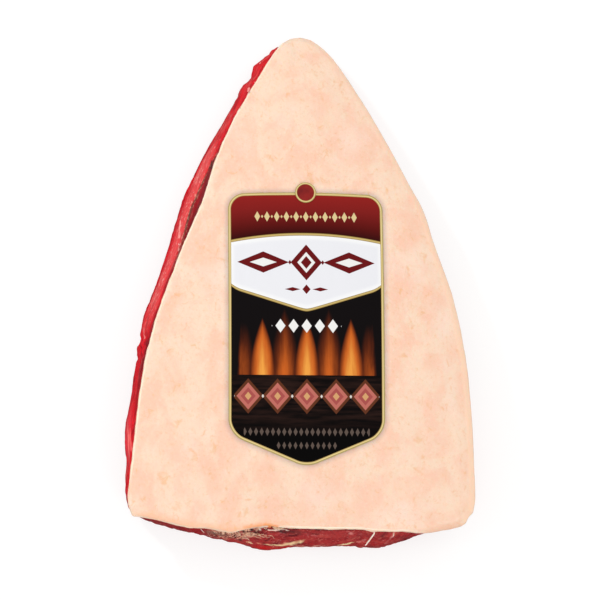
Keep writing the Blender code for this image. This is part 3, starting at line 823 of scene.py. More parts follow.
        # Painted shade: a dark line on the cut face just under the fat's edge.
        return sh.blend((sh.zone(Zone.FAT_GAP) + jag).eased(2.0, 0.7) * 0.8, colour, self.under_fat_shade)

    def _film(self, sh: Shader, colour: Colour, fibres: Signal) -> Socket:
        """Silverskin: thin torn streaks along the fat and the right flank, and ragged sheets below.

        Args:
            sh: The material under way.
            colour: The colour below.
            fibres: The pattern of its fibres.

        Returns:
            A colour socket.
        """
        flank, below_fat = 1 - sh.zone(Zone.CUT), sh.zone(Zone.FAT_GAP)
        sheet = sh.clouds((9, 30, 5), 4, 0.6, 0.6, turn=GRAIN_TURN, shift=5.0)
        strip = below_fat.within(1.5, 13.0, 1.5) * sh.zone(Zone.HEIGHT).eased(0.95, 0.75) * 0.35
        right = sh.along(Axis.X).eased(40.0, 62.0) * 0.34
        thin = sheet.eased(0.50, 0.64) * strip.higher(right) * flank
        thin = thin * (fibres.eased(0.44, 0.66) * 0.85 + 0.15)
        thick = sheet.eased(0.42, 0.54) * sh.zone(Zone.UNDER) * (fibres.eased(0.36, 0.66) * 0.52 + 0.23)
        return sh.blend(thin.higher(thick), colour, self.silver)

    def _fray(self, sh: Shader, colour: Colour) -> Socket:
        """Painted shade in the hollows, and pale torn tissue with painted glints, along the upper edge of the
        cut end.

        Args:
            sh: The material under way.
            colour: The colour below.

        Returns:
            A colour socket.
        """
        across = sh.along(Axis.X) + (sh.clouds((6, 6, 6), 2, shift=4.0) - 0.5) * 10
        gap, near = sh.zone(Zone.END_GAP), sh.zone(Zone.FAT_GAP).eased(12.0, 7.0) * sh.zone(Zone.CUT)
        area = across.within(-49.0, -22.0, 3.0) * gap.eased(5.4, 3.2) * near
        torn = sh.clouds((3.0, 1.2, 1.2), 4, 0.68, 1.2, turn=8, shift=2.0)
        drift = sh.clouds((9.0, 4.0, 3.0), 2, turn=8, shift=23.0) - 0.5
        # Painted shade in the hollows of the torn tissue.
        colour = sh.blend((torn + drift * 0.35).eased(0.51, 0.56) * area * 0.95, colour, self.hollow_shade)
        colour = sh.blend((torn + drift * 0.35).eased(0.46, 0.41) * area * 0.75, colour, self.torn)
        # Painted glints on the torn tissue.
        spark = sh.clouds((1.6, 0.7, 0.7), 3, 0.66, turn=12, shift=24.0).eased(0.60, 0.70)
        colour = sh.blend(spark * area * 0.8, colour, self.spark)
        film = across.within(-49.0, -40.0, 2.0) * gap.within(0.4, 2.0, 0.4) * near
        return sh.blend(film * 0.6, colour, self.stained)


@dataclass(frozen=True)
class SinewFinish:
    """Wet connective tissue, from white to straw."""

    name: str
    light: tuple
    dark: tuple

    def material(self) -> bpy.types.Material:
        """Builds the material.

        Returns:
            The material.
        """
        sh = Shader(self.name)
        streaks = sh.clouds((1.2, 1.2, 4.0), 3, 0.6, 0.5).eased(0.35, 0.7)
        colour = sh.blend(streaks, self.light, self.dark)
        normal = sh.relief(sh.clouds((0.8, 0.8, 3.0), 3, 0.6), 0.15)
        sh.settle(subsurface_weight=0.2, subsurface_scale=1.5 * MM, specular_ior_level=0.3)
        return sh.dress(colour, 0.4, normal)


@dataclass(frozen=True)
class FoilFinish:
    """Gold printing ink with a fine satin grain, darker at both edges of a rim."""

    outer: tuple = shade(140, 136, 72)
    light: tuple = shade(226, 208, 152)
    gold: tuple = shade(184, 158, 92)
    inner: tuple = shade(128, 98, 48)

    def material(self) -> bpy.types.Material:
        """Builds the material.

        Returns:
            The material.
        """
        sh = Shader("gold_ink")
        tones = (self.outer, self.gold, self.light, self.gold, self.inner)
        stops = tuple(zip((0.0, 0.30, 0.55, 0.80, 1.0), tones))
        colour = sh.ramp(sh.zone(Zone.RIM), stops)
        drift = sh.clouds((14, 22, 14), 2).eased(0.3, 0.7)
        colour = sh.blend(drift * 0.25, colour, self.gold)
        grain = sh.clouds((0.4, 0.4, 0.4), 2)
        sh.settle(specular_ior_level=0.3)
        return sh.dress(colour, grain * 0.2 + 0.3, sh.relief(grain, 0.02))


@dataclass(frozen=True)
class InkFinish:
    """The badge's dark red ink, a little uneven."""

    light: tuple = shade(140, 34, 30)
    dark: tuple = shade(112, 26, 26)

    def material(self) -> bpy.types.Material:
        """Builds the material.

        Returns:
            The material.
        """
        sh = Shader("badge_ink")
        drift = sh.clouds((6, 6, 6)).eased(0.3, 0.7)
        sh.settle(specular_ior_level=0.1)
        return sh.dress(sh.blend(drift, self.light, self.dark), 0.3, sh.relief(drift, 0.01))


@dataclass(frozen=True)
class Motif:
    """A lozenge of one ink, single, mirrored or repeated along a row, in the label's millimetres."""

    ink: tuple
    down: float
    half: tuple[float, float]
    offset: float = 0.0
    every: float = 0.0
    reach: float = 0.0

    def mask(self, across: Signal, down: Signal) -> Signal:
        """1 inside the lozenges and 0 outside them.

        Args:
            across: Place across the label, from its middle line.
            down: Place down the label, from its top edge.

        Returns:
            The mask.
        """
        place = abs(across)
        shown = place.eased(self.reach + 0.05, self.reach - 0.05) if self.reach else 1.0
        if self.every:
            place = across.triangle(self.every / 2)
        if self.offset:
            place = abs(place - self.offset)
        reach = place / self.half[0] + abs(down - self.down) / self.half[1]
        blur = 0.08 / min(self.half)
        return reach.eased(1 + blur, 1 - blur) * shown


WINE, CREAM, WHITE, DIM = shade(108, 22, 24), shade(226, 204, 150), shade(244, 243, 240), shade(96, 82, 74)
HEADER_MOTIFS = (
    Motif(CREAM, 13.4, (1.5, 2.8), every=5.2, reach=28.0),
    Motif(CREAM, 13.4, (0.6, 0.9), offset=2.6, every=5.2, reach=28.0),
)
PANEL_MOTIFS = (
    Motif(WINE, 38.4, (8.4, 9.8)),
    Motif(WHITE, 38.4, (4.8, 5.7)),
    Motif(WINE, 38.4, (2.9, 3.5)),
    Motif(WINE, 38.4, (13.8, 5.8), offset=23.0),
    Motif(WHITE, 38.4, (7.2, 2.4), offset=23.0),
    Motif(WINE, 38.4, (0.9, 1.3), offset=8.8),
    Motif(WINE, 53.0, (2.2, 2.6)),
    Motif(WINE, 53.0, (4.2, 1.1), offset=7.4),
)
GEM_INKS = (
    (shade(100, 54, 34), (8.2, 9.4), 0.0),
    (shade(196, 112, 100), (6.2, 7.2), 0.0),
    (shade(172, 84, 80), (4.0, 4.6), 0.0),
    (shade(216, 164, 112), (1.8, 2.2), 0.0),
    (shade(226, 222, 214), (0.7, 1.0), 7.8),
)
FIELD_MOTIFS = (
    *(Motif(ink, 110.5, half, offset, every=15.6, reach=38.6) for ink, half, offset in GEM_INKS),
    Motif(WHITE, 72.8, (2.7, 3.7), every=7.0, reach=18.6),
    Motif(DIM, 129.4, (1.1, 2.2), every=3.0, reach=33.5),
    Motif(DIM, 136.6, (1.0, 2.0), every=3.0, reach=16.6),
)


@dataclass(frozen=True)
class PrintFinish:
    """The label's print, in millimetres across from its middle line and down from its top edge.

    Every field is a band, a petal or a lozenge worked out from its sizes.
    """

    middle: float
    top: float
    half_width: float = 41.5
    arch_side: float = 27.3
    arch_rise: float = 4.3
    panel_point: float = 64.2
    panel_slope: float = 0.315
    line: float = 0.75
    ground: float = 99.2
    petal_every: float = 11.8
    blunt: float = 2.0
    corner: float = 6.5
    crisp: float = 0.06
    exposure: float = 0.82
    header: tuple = (
        (0.0, shade(152, 35, 32)),
        (0.4, shade(131, 31, 29)),
        (0.75, shade(94, 20, 18)),
        (1.0, shade(46, 12, 13)),
    )
    gold: tuple = ((0.0, shade(214, 190, 124)), (0.6, shade(184, 156, 88)), (1.0, shade(120, 92, 44)))
    panel_rim: tuple = shade(252, 252, 252)
    panel_core: tuple = shade(241, 241, 245)
    black: tuple = shade(17, 13, 14)
    rust: tuple = shade(112, 46, 20)
    amber: tuple = shade(206, 100, 36)
    flare: tuple = shade(246, 168, 74)
    board_dark: tuple = shade(12, 8, 8)
    board_light: tuple = shade(42, 26, 22)
    foot: tuple = shade(6, 5, 5)

    def material(self) -> bpy.types.Material:
        """Builds the print's material.

        Returns:
            The material.
        """
        sh = Shader("label_print")
        across = sh.along(Axis.X) - self.middle
        down = self.top - sh.along(Axis.Y)
        arch = (across / self.half_width) ** 2 * self.arch_rise + (self.arch_side - self.arch_rise)
        blunt = (across * across + self.blunt**2).root() - self.blunt
        corner = (abs(across) - (self.half_width - self.corner)).higher(0.0)
        point = self.panel_point - blunt * self.panel_slope - corner * corner * 0.05
        colour = self._stamp(sh, FIELD_MOTIFS, across, down, self._field(sh, across, down))
        header = self._stamp(sh, HEADER_MOTIFS, across, down, sh.ramp(down / arch, self.header))
        colour = sh.blend((arch - down).eased(-self.crisp, self.crisp), colour, header)
        panel = (down - arch).lower(point - down)
        inside = panel.lower((abs(across) * -1) + self.half_width)
        white = sh.blend(inside.eased(1.2, 4.0), self.panel_rim, self.panel_core)
        white = self._stamp(sh, PANEL_MOTIFS, across, down, white)
        colour = sh.blend(panel.eased(-self.crisp, self.crisp), colour, white)
        edge = abs(panel)
        gold = sh.ramp(edge / self.line, self.gold)
        colour = sh.blend(edge.eased(self.line + self.crisp, self.line - self.crisp), colour, gold)
        colour = sh.blend(1.0, colour, (self.exposure, self.exposure, self.exposure, 1.0), "MULTIPLY")
        grain = sh.clouds((0.5, 0.5, 0.5), 2)
        sh.settle(specular_ior_level=0.03)
        return sh.dress(colour, grain * 0.15 + 0.28, sh.relief(grain, 0.015))

    def _stamp(
        self, sh: Shader, motifs: Sequence[Motif], across: Signal, down: Signal, colour: Colour
    ) -> Colour:
        """Stamps motifs on a field, one over the other.

        Args:
            sh: The material under way.
            motifs: The motifs, the lowest first.
            across: Place across the label, from its middle line.
            down: Place down the label.
            colour: The field's colour.

        Returns:
            A colour socket.
        """
        for motif in motifs:
            colour = sh.blend(motif.mask(across, down), colour, motif.ink)
        return colour

    def _petals(self, across: Signal, down: Signal, height: float, half: float, offset: float) -> Signal:
        """How deep a point lies inside a row of upright petals.

        Args:
            across: Place across the label, from its middle line.
            down: Place down the label.
            height: How high the petals are.
            half: Half their width.
            offset: How far the row is moved from the middle line.

        Returns:
            Above 0 inside them, and 1 at their hearts.
        """
        place = across.triangle(self.petal_every)
        place = abs(place - offset) if offset else place
        rise = ((self.ground - down) / height).higher(0.0)
        return (1 - rise * rise) - place / half

    def _field(self, sh: Shader, across: Signal, down: Signal) -> Socket:
        """The black lower field: two rows of glowing petals over a dark board.

        Args:
            sh: The material under way.
            across: Place across the label, from its middle line.
            down: Place down the label.

        Returns:
            A colour socket.
        """
        grain = sh.clouds((3.2, 20, 40), 3, 0.6, shift=2.0) * 0.9 + 0.5
        glow = (self.ground - down).eased(34.0, 2.0)
        rear = self._petals(across, down, 37.0, 8.6, self.petal_every) * grain
        front = self._petals(across, down, 31.0, 6.8, 0.0) * grain
        rear, front = (petals - abs(across).eased(31.0, 40.0) * 0.9 for petals in (rear, front))
        colour = sh.blend(rear.eased(0.0, 0.7), self.black, self.rust)
        colour = sh.blend(rear.eased(0.3, 1.1) * glow, colour, self.amber)
        colour = sh.blend(front.eased(0.0, 0.16) * 0.8, colour, self.rust)
        colour = sh.blend(front.eased(0.06, 0.5), colour, self.amber)
        colour = sh.blend(front.eased(0.35, 0.95) * glow, colour, self.flare)
        planks = sh.clouds((22, 2.2, 40), 4, 0.6, shift=5.0)
        board = sh.blend(planks.eased(0.35, 0.7), self.board_dark, self.board_light)
        colour = sh.blend((down - self.ground).eased(-self.crisp, self.crisp), colour, board)
        return sh.blend((down - (self.ground + 20)).eased(0.0, 14.0), colour, self.foot)


@dataclass(frozen=True)
class FloorFinish:
    """A plain pale sweep with a barely seen mottle, lit a little from within so that shadows stay faint."""

    pale: tuple = shade(150, 150, 150)
    faint: tuple = shade(152, 152, 151)
    glow: float = 0.71

    def material(self) -> bpy.types.Material:
        """Builds the floor's material.

        Returns:
            The material.
        """
        sh = Shader("floor_paper")
        drift = sh.clouds((300, 300, 300), 2).eased(0.2, 0.8)
        colour = sh.blend(drift, self.pale, self.faint)
        sh.settle(emission_color=(1.0, 1.0, 1.0, 1.0), emission_strength=self.glow, specular_ior_level=0.1)
        return sh.dress(colour, 0.85)


def placed(name: str, data: bpy.types.ID) -> bpy.types.Object:
    """Puts a new object into the scene, at the origin.

    Args:
        name: Its name.
        data: Its mesh, curve, light or camera.

    Returns:
        The object.
    """
    obj = bpy.data.objects.new(name, data)
    bpy.context.scene.collection.objects.link(obj)
    return obj


def mesh_of(work: bmesh.types.BMesh, name: str) -> bpy.types.Mesh:
    """Writes a bmesh into a new mesh.

    Args:
        work: The bmesh, which is freed.
        name: The mesh's name.

    Returns:
        The mesh.
    """
    mesh = bpy.data.meshes.new(name)
    work.to_mesh(mesh)
    work.free()
    return mesh


def finished(holder: bpy.types.Object) -> bpy.types.Mesh:
    """Makes a mesh of an object as its modifiers or its bevel leave it.

    Args:
        holder: The object, which is removed.

    Returns:
        The mesh.
    """
    bpy.context.view_layer.update()
    mesh = bpy.data.meshes.new_from_object(holder.evaluated_get(bpy.context.evaluated_depsgraph_get()))
    bpy.data.objects.remove(holder)
    return mesh


def numbers(mesh: bpy.types.Mesh, field_name: str) -> np.ndarray:
    """Reads one vector field of a mesh's points.

    Args:
        mesh: The mesh.
        field_name: co or normal.

    Returns:
        An array of one row per point.
    """
    values = np.empty(len(mesh.vertices) * 3, np.float32)
    mesh.vertices.foreach_get(field_name, values)
    return values.reshape(-1, 3).astype(float)


@dataclass(frozen=True)
class Wave:
    """Smooth fractal noise in the row frame: sizes in millimetres, a depth in metres, angles in degrees."""

    sizes: tuple[float, float, float]
    seed: float
    depth: float = 1.0
    turn: float = 0.0
    tilt: float = 0.0
    bundle_mean: float = 0.6
    bundle_gain: float = 2.6
    bundle_power: float = 0.6
    octaves: int = 3

    def read(self, points: np.ndarray) -> np.ndarray:
        """Reads the noise, from about -1 to 1.

        Args:
            points: Places in the row frame, in metres.

        Returns:
            One number per point.
        """
        turned = points @ np.array(Matrix.Rotation(math.radians(self.turn), 3, "Z")).T
        tilted = turned @ np.array(Matrix.Rotation(math.radians(self.tilt), 3, "X")).T
        scaled = tilted / (np.array(self.sizes) * MM) + self.seed
        return np.array([noise.fractal(Vector(p), 1.0, 2.0, self.octaves) for p in scaled])

    def at(self, points: np.ndarray) -> np.ndarray:
        """How far swells of its depth move each point out, in metres."""
        return self.read(points) * self.depth

    def bundles(self, points: np.ndarray) -> np.ndarray:
        """Rounded bundles parted by narrow grooves: for each point, 0 in a groove and 1 on a crest."""
        return np.clip(np.abs(self.read(points)) * self.bundle_gain, 0, 1) ** self.bundle_power

    def raised(self, share: np.ndarray) -> np.ndarray:
        """How far bundles of that share are moved out, in metres."""
        return (share - self.bundle_mean) * self.depth


@dataclass
class Skin:
    """A fine skin over one CAD node: its voxel size sets how fine it is."""

    node: str
    piece: str
    voxel: float
    smoothing: int = 2
    weld: float = 0.01 * MM

    def build(self) -> bpy.types.Object:
        """Copies the node, joins its loose triangles and gives it an even fine mesh.

        Returns:
            The new object, at the origin.
        """
        work = bmesh.new()
        work.from_mesh(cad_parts[self.node].data)
        bmesh.ops.remove_doubles(work, verts=work.verts, dist=self.weld)
        bmesh.ops.recalc_face_normals(work, faces=work.faces)
        holder = placed(self.piece + "_rough", mesh_of(work, self.piece + "_rough"))
        remesh = holder.modifiers.new("even", "REMESH")
        remesh.mode = "VOXEL"
        remesh.voxel_size = self.voxel
        mesh = finished(holder)
        fine = bmesh.new()
        fine.from_mesh(mesh)
        axes = {"use_axis_x": True, "use_axis_y": True, "use_axis_z": True}
        for _ in range(self.smoothing):
            bmesh.ops.smooth_vert(fine, verts=fine.verts, factor=0.5, **axes)
        fine.to_mesh(mesh)
        fine.free()
        mesh.name = self.piece
        mesh.shade_smooth()
        return placed(self.piece, mesh)


def tree_of(obj: bpy.types.Object) -> BVHTree:
    """Makes a search tree over an object's own mesh.

    Args:
        obj: The object.

    Returns:
        The tree.
    """
    work = bmesh.new()
    work.from_mesh(obj.data)
    tree = BVHTree.FromBMesh(work)
    work.free()
    return tree


def from_above(tree: BVHTree, x: float, y: float) -> Vector | None:
    """Where a plumb line at that place first meets a surface, or None where it misses it."""
    return tree.ray_cast(Vector((x, y, 1.0)), Vector((0, 0, -1)))[0]


def nearness(points: np.ndarray, tree: BVHTree, reach: float) -> np.ndarray:
    """How near each point is to a surface: 1 on it, falling to 0 at that reach, in metres."""
    found = [tree.find_nearest(Vector(p), reach)[3] for p in points]
    return np.array([0.0 if d is None else 1 - d / reach for d in found])


def flat_distance(points: np.ndarray, flat: BVHTree, reach: float) -> np.ndarray:
    """Distance in plan from each point to a flat shape, 0 inside it and at most that reach."""
    found = [flat.find_nearest(Vector((x, y, 0.0)), reach)[3] for x, y, _ in points]
    return np.array([reach if d is None else d for d in found])


def store(mesh: bpy.types.Mesh, fields: Mapping[Zone, np.ndarray]) -> None:
    """Stores fields on a mesh's points.

    Args:
        mesh: The mesh.
        fields: The fields' zones and values.
    """
    for zone, values in fields.items():
        layer = mesh.attributes.new(zone.value, "FLOAT", "POINT")
        layer.data.foreach_set("value", values.astype(np.float32))


def displace(mesh: bpy.types.Mesh, points: np.ndarray, normals: np.ndarray, depth: np.ndarray) -> None:
    """Moves a mesh's points along their normals.

    Args:
        mesh: The mesh.
        points: Its points.
        normals: Their normals.
        depth: How far each point moves, in metres.
    """
    moved = points + normals * depth[:, None]
    mesh.vertices.foreach_set("co", moved.astype(np.float32).ravel())
    mesh.update()


class EdgeLine:
    """The outermost line of a piece towards -X or -Y, as it is seen from above."""

    def __init__(self, points: np.ndarray, along: Axis, step: float = 1.5 * MM) -> None:
        """Follows the lowest coordinate of the points, slice by slice.

        Args:
            points: The piece's points.
            along: The axis that the line runs along, X or Y.
            step: How wide a slice is.
        """
        self.along = along.value
        self.across = 1 - along.value
        low, high = points[:, self.along].min(), points[:, self.along].max()
        slots = ((points[:, self.along] - low) / step).astype(int)
        count = int((high - low) / step)
        self.places = low + (np.arange(count) + 0.5) * step
        lowest = [points[slots == k, self.across].min() for k in range(count)]
        padded = np.pad(lowest, 2, mode="edge")
        self.values = np.convolve(padded, np.ones(5) / 5, mode="valid")
        self.slopes = np.gradient(self.values, step)

    def gap(self, points: np.ndarray) -> np.ndarray:
        """How far each point lies outside the line in plan, in millimetres.

        Args:
            points: Places in the row frame, in metres.

        Returns:
            One number per point, below 0 inside the line.
        """
        places = points[:, self.along]
        straight = np.interp(places, self.places, self.values) - points[:, self.across]
        return straight / np.sqrt(1 + np.interp(places, self.places, self.slopes) ** 2) / MM


@dataclass(frozen=True)
class Fit:
    """Small shifts along one side, as pairs of a place along it and the shift there, in millimetres."""

    knots: tuple[tuple[float, float], ...]

    def at(self, places: np.ndarray) -> np.ndarray:
        """The value at each place, given in metres."""
        where, values = np.array(self.knots).T
        return np.interp(places / MM, where, values)


@dataclass
class Edges:
    """The fat's two cut edges, in plan: the left one and the one at the cut end."""

    side: EdgeLine
    end: EdgeLine


def adopt(obj: bpy.types.Object, material: bpy.types.Material, slot: str, *nodes: str) -> None:
    """Gives a piece its material and body, and hides the CAD nodes that it stands for.

    Args:
        obj: The piece.
        material: Its material, put in its first slot where it has none.
        slot: The record's material slot. It is not used.
        nodes: CAD nodes that it replaces.
    """
    if not obj.data.materials:
        obj.data.materials.append(material)
    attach(obj, BODY)
    if nodes:
        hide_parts(*nodes)
    LOG.info("%s: %d faces", obj.name, len(obj.data.polygons))


@dataclass
class FatCap:
    """The fat cap: a soft top, layered cut edges on the left and at the cut end, a rounded right flank."""

    voxel: float = 1.0 * MM
    swell: Wave = Wave((11, 13, 11), 2.0, 0.16 * MM)
    dimple: Wave = Wave((4.0, 4.6, 4.0), 5.0, 0.056 * MM)
    crumb: Wave = Wave((3.4, 3.4, 2.2), 8.0, 0.22 * MM)
    layer: Wave = Wave((11, 11, 2.6), 9.0, 0.26 * MM)
    label_reach: float = 8.0 * MM
    label_margin: float = 5.0 * MM
    label_shade: float = 3.4 * MM
    label_calm: tuple[float, float] = (0.8, 0.9)
    stain_reach: float = 4.5 * MM
    left_from: tuple[float, float] = (-0.078, -0.088)
    front_from: tuple[float, float] = (-0.108, -0.120)
    lit_rim_facing: tuple[float, float] = (0.18, 0.80)
    upright: tuple[float, float] = (0.62, 0.30)
    left_facing: tuple[float, float] = (0.25, 0.55)
    left_until: tuple[float, float] = (0.132, 0.118)
    front_facing: tuple[float, float] = (0.55, 0.8)
    front_until: tuple[float, float] = (0.070, 0.056)
    left_fit: Fit = Fit(((-127, -1.6), (-122.5, -1.6), (-120.5, -0.9), (-118, -0.7), (-115, -0.5), (-109, 0)))
    front_fit: Fit = Fit(
        (
            (-94, 1.2), (-92.5, 0.6), (-89.6, -0.6), (-86.4, -0.3), (-83, -0.2), (-70, 0), (-67, -0.35),
            (-59.5, -1.05), (-55.8, -0.7), (-52, 0), (-8.5, 0), (-2.6, 0.35), (7, 0.2), (16, 0),
            (33, 0.1), (38, -0.5), (49, -0.45), (53, 0),
        )
    )

    def build(self, outline: BVHTree) -> tuple[bpy.types.Object, Edges]:
        """Builds and dresses the fat cap.

        Args:
            outline: The label's outline, flat at height 0.

        Returns:
            The finished piece, and the lines of its cut edges.
        """
        obj = Skin("fat_cap", "fat_cap_skin", self.voxel).build()
        mesh = obj.data
        points, normals = numbers(mesh, "co"), numbers(mesh, "normal")
        points[:, 0] += self.left_fit.at(points[:, 1]) * ease(points[:, 0], *self.left_from) * MM
        points[:, 1] += self.front_fit.at(points[:, 0]) * ease(points[:, 1], *self.front_from) * MM
        edges = Edges(EdgeLine(points, Axis.Y), EdgeLine(points, Axis.X))
        cut = self._cut_share(points, normals)
        away = flat_distance(points, outline, self.label_reach)
        cover = ease(away, self.label_margin, 0.0)
        broad, fine = (1 - share * cover for share in self.label_calm)
        top = self.swell.at(points) * broad + self.dimple.at(points) * fine
        torn = self.crumb.at(points) + self.layer.at(points)
        displace(mesh, points, normals, top * (1 - cut) + torn * cut)
        fields = {
            # Where the skin faces right: the fat's material paints light there.
            Zone.RIM: ease(normals[:, 0], *self.lit_rim_facing),
            Zone.CUT: cut,
            Zone.SEAM: nearness(points, tree_of(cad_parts["lean"]), self.stain_reach),
            Zone.LABEL_SHADE: ease(away, self.label_shade, 0.0),
            Zone.SIDE_GAP: edges.side.gap(points),
            Zone.END_GAP: edges.end.gap(points),
        }
        store(mesh, fields)
        adopt(obj, FatFinish().material(), "fat", "fat_cap")
        return obj, edges

    def _cut_share(self, points: np.ndarray, normals: np.ndarray) -> np.ndarray:
        """Where the fat was cut: the faces that look left, or out of the cut end.

        Args:
            points: The skin's points.
            normals: Their normals.

        Returns:
            One share per point.
        """
        upright = ease(normals[:, 2], *self.upright)
        left = ease(-normals[:, 0], *self.left_facing) * ease(points[:, 1], *self.left_until)
        end = ease(-normals[:, 1], *self.front_facing) * ease(points[:, 0], *self.front_until)
        return upright * np.maximum(left, end)


@dataclass(frozen=True)
class Crease:
    """A ridge or a valley along a straight line, in the part's millimetres."""

    start: tuple[float, float, float]
    end: tuple[float, float, float]
    width: float
    height: float

    def share(self, points: np.ndarray) -> np.ndarray:
        """How near each point is to the line: 1 on it, falling to 0 a width away.

        Args:
            points: Places in the row frame, in metres.

        Returns:
            One share per point.
        """
        start, end = np.array(self.start) * MM, np.array(self.end) * MM
        arm = end - start
        along = np.clip((points - start) @ arm / (arm @ arm), 0, 1)
        away = np.linalg.norm(points - start - along[:, None] * arm, axis=1)
        return ease(away, self.width * MM, 0.0)


@dataclass
class Lean:
    """The lean: glossy bundles down the flanks, a grainy cut end and a silverskin underside."""

    voxel: float = 1.08 * MM
    rolls: Wave = Wave((9, 46, 5.5), 1.0, 0.35 * MM, GRAIN_TURN)
    long: Wave = Wave((5.2, 62, 4.2), 3.0, 0.85 * MM, GRAIN_TURN, GRAIN_TILT)
    fine: Wave = Wave((3.0, 34, 2.8), 7.0, 0.40 * MM, GRAIN_TURN, GRAIN_TILT)
    ends: Wave = Wave((5.4, 5.4, 4.6), 11.0, 0.50 * MM)
    pits: Wave = Wave((2.6, 2.6, 2.4), 6.0, 0.15 * MM)
    calm: Wave = Wave((26, 46, 14), 21.0, turn=GRAIN_TURN)
    seam_reach: float = 3.0
    fit_from: tuple[float, float] = (-6.0, -1.0)
    end_cut: tuple[float, float] = (-4.0, 0.5)
    side_cut: tuple[float, float] = (2.0, 0.5)
    cut_facing: tuple[float, float] = (0.5, 0.8)
    cut_until: tuple[float, float] = (-0.110, -0.120)
    under_facing: tuple[float, float] = (0.6, 0.9)
    under_until: tuple[float, float] = (3 * MM, 1 * MM)
    creases: tuple = (
        Crease((-81.1, -30.8, 36.0), (-87.8, -33.2, 14.0), 2.6, 1.5),
        Crease((-80.6, -26.8, 34.0), (-86.2, -27.6, 14.0), 2.6, -1.5),
        Crease((-83.6, -37.6, 33.0), (-88.2, -38.2, 16.0), 2.4, -0.9),
        Crease((-24.5, 112.4, 26.0), (-27.0, 111.6, 6.0), 2.6, -1.3),
    )
    left_fit: Fit = Fit(
        (
            (-121, 0.7), (-116, 0.4), (-112, 0.05), (-109, -0.1), (-106, 0), (-101, -0.2), (-95, 0.2),
            (-84, -0.2), (-77.6, -1.05), (-71, -1.35), (-63, -0.7), (-56, -0.35), (-48, -0.6), (-41, -0.2),
            (-35, -0.45), (-33, 0.3), (-30.5, -0.1), (-28.3, -0.35), (-26, -0.75), (-20, 0), (-15, 0.3),
            (-8, 0.8), (-2, 0.1), (10, -0.2), (24, 0.4), (32, 0), (47, -0.45), (60, -0.5), (81, 0),
            (91, 0.5), (100.6, 0.2), (104.9, 0.25), (107, 0.85), (109.2, 0.05), (111.3, -0.95),
            (113.5, -1.4), (115.6, 0), (117.8, 0.5), (119.9, -0.2), (122.1, -0.75), (124.2, -1.7),
            (126.4, -1.0), (128.5, -0.2), (131.5, 0.6), (133.5, -1.0), (137, -1.0),
        )
    )
    front_fit: Fit = Fit(
        (
            (-91, 0.5), (-85, 0.3), (-81, -0.3), (-77, 0), (-72, 0.4), (-67, 0.5), (-59.5, -0.3), (-54, 0.1),
            (-50, 0.8), (-43.5, 0), (-33, 0.2), (-25, 0.75), (-21, 0.2), (-11, 0.45), (-1, 0.75), (6, 0.3),
            (16, -0.1), (24, 0.1), (31, 0.9), (36, 0.2), (40.5, -0.7), (46, -1.05), (50, -0.15),
            (58.6, 0.6), (65, 0.7), (72.6, 0.3),
        )
    )
    fold_line: Fit = Fit(
        (
            (0, -1), (8, -0.15), (14, 0), (20, 0.12), (26, 0.22), (34, 0.30), (44, 0.33), (54, 0.26),
            (62, 0.18), (70, 0.04), (76, -0.15), (90, -1),
        )
    )

    def build(self, edges: Edges) -> bpy.types.Object:
        """Builds and dresses the lean.

        Args:
            edges: The lines of the fat's cut edges.

        Returns:
            The finished piece.
        """
        obj = Skin("lean", "lean_skin", self.voxel).build()
        mesh = obj.data
        points, normals = numbers(mesh, "co"), numbers(mesh, "normal")
        end_gap, side_gap = edges.end.gap(points), edges.side.gap(points)
        points[:, 0] += self.left_fit.at(points[:, 1]) * ease(side_gap, *self.fit_from) * MM
        points[:, 1] += self.front_fit.at(points[:, 0]) * ease(end_gap, *self.fit_from) * MM
        cut = ease(end_gap, *self.end_cut) * ease(side_gap, *self.side_cut)
        facing = ease(-normals[:, 1], *self.cut_facing) * ease(points[:, 1], *self.cut_until)
        cut = np.maximum(cut, facing)
        fat_gap, height = self._under_fat(points, tree_of(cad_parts["fat_cap"]))
        seam = np.clip(1 - fat_gap / self.seam_reach, 0, 1)
        under = ease(-normals[:, 2], *self.under_facing) * ease(points[:, 2], *self.under_until)
        bundle, depth = self._relief(points, cut)
        depth *= (1 - seam) * (1 - under)
        for crease in self.creases:
            depth += crease.share(points) * crease.height * MM
        displace(mesh, points, normals, depth)
        silhouette = EdgeLine(points, Axis.Y).gap(points)
        share = np.clip(side_gap, 0, None) / np.maximum(np.clip(side_gap, 0, None) - silhouette, 0.1)
        share = np.maximum(np.clip(share, 0, 1), ease(-normals[:, 2], -0.05, 0.25))
        fields = {
            Zone.CUT: cut,
            Zone.SEAM: seam,
            Zone.UNDER: under,
            Zone.SIDE_GAP: side_gap,
            Zone.END_GAP: end_gap,
            Zone.SIDE_SHARE: share,
            Zone.FAT_GAP: fat_gap,
            Zone.HEIGHT: height,
            Zone.BUNDLE: bundle,
            Zone.FOLD: share - self.fold_line.at(points[:, 1]),
        }
        store(mesh, fields)
        adopt(obj, LeanFinish().material(), "lean", "lean")
        return obj

    def _under_fat(self, points: np.ndarray, fat: BVHTree) -> tuple[np.ndarray, np.ndarray]:
        """Where each point lies below the fat.

        Args:
            points: The skin's points.
            fat: The fat cap.

        Returns:
            Its distance to the fat in millimetres, and its height as a share of the edge beside it.
        """
        found = [fat.find_nearest(Vector(p)) for p in points]
        gap = np.array([hit[3] for hit in found]) / MM
        edge = np.array([hit[0].z for hit in found])
        return np.minimum(gap, 40.0), np.clip(points[:, 2] / edge, 0, 1)

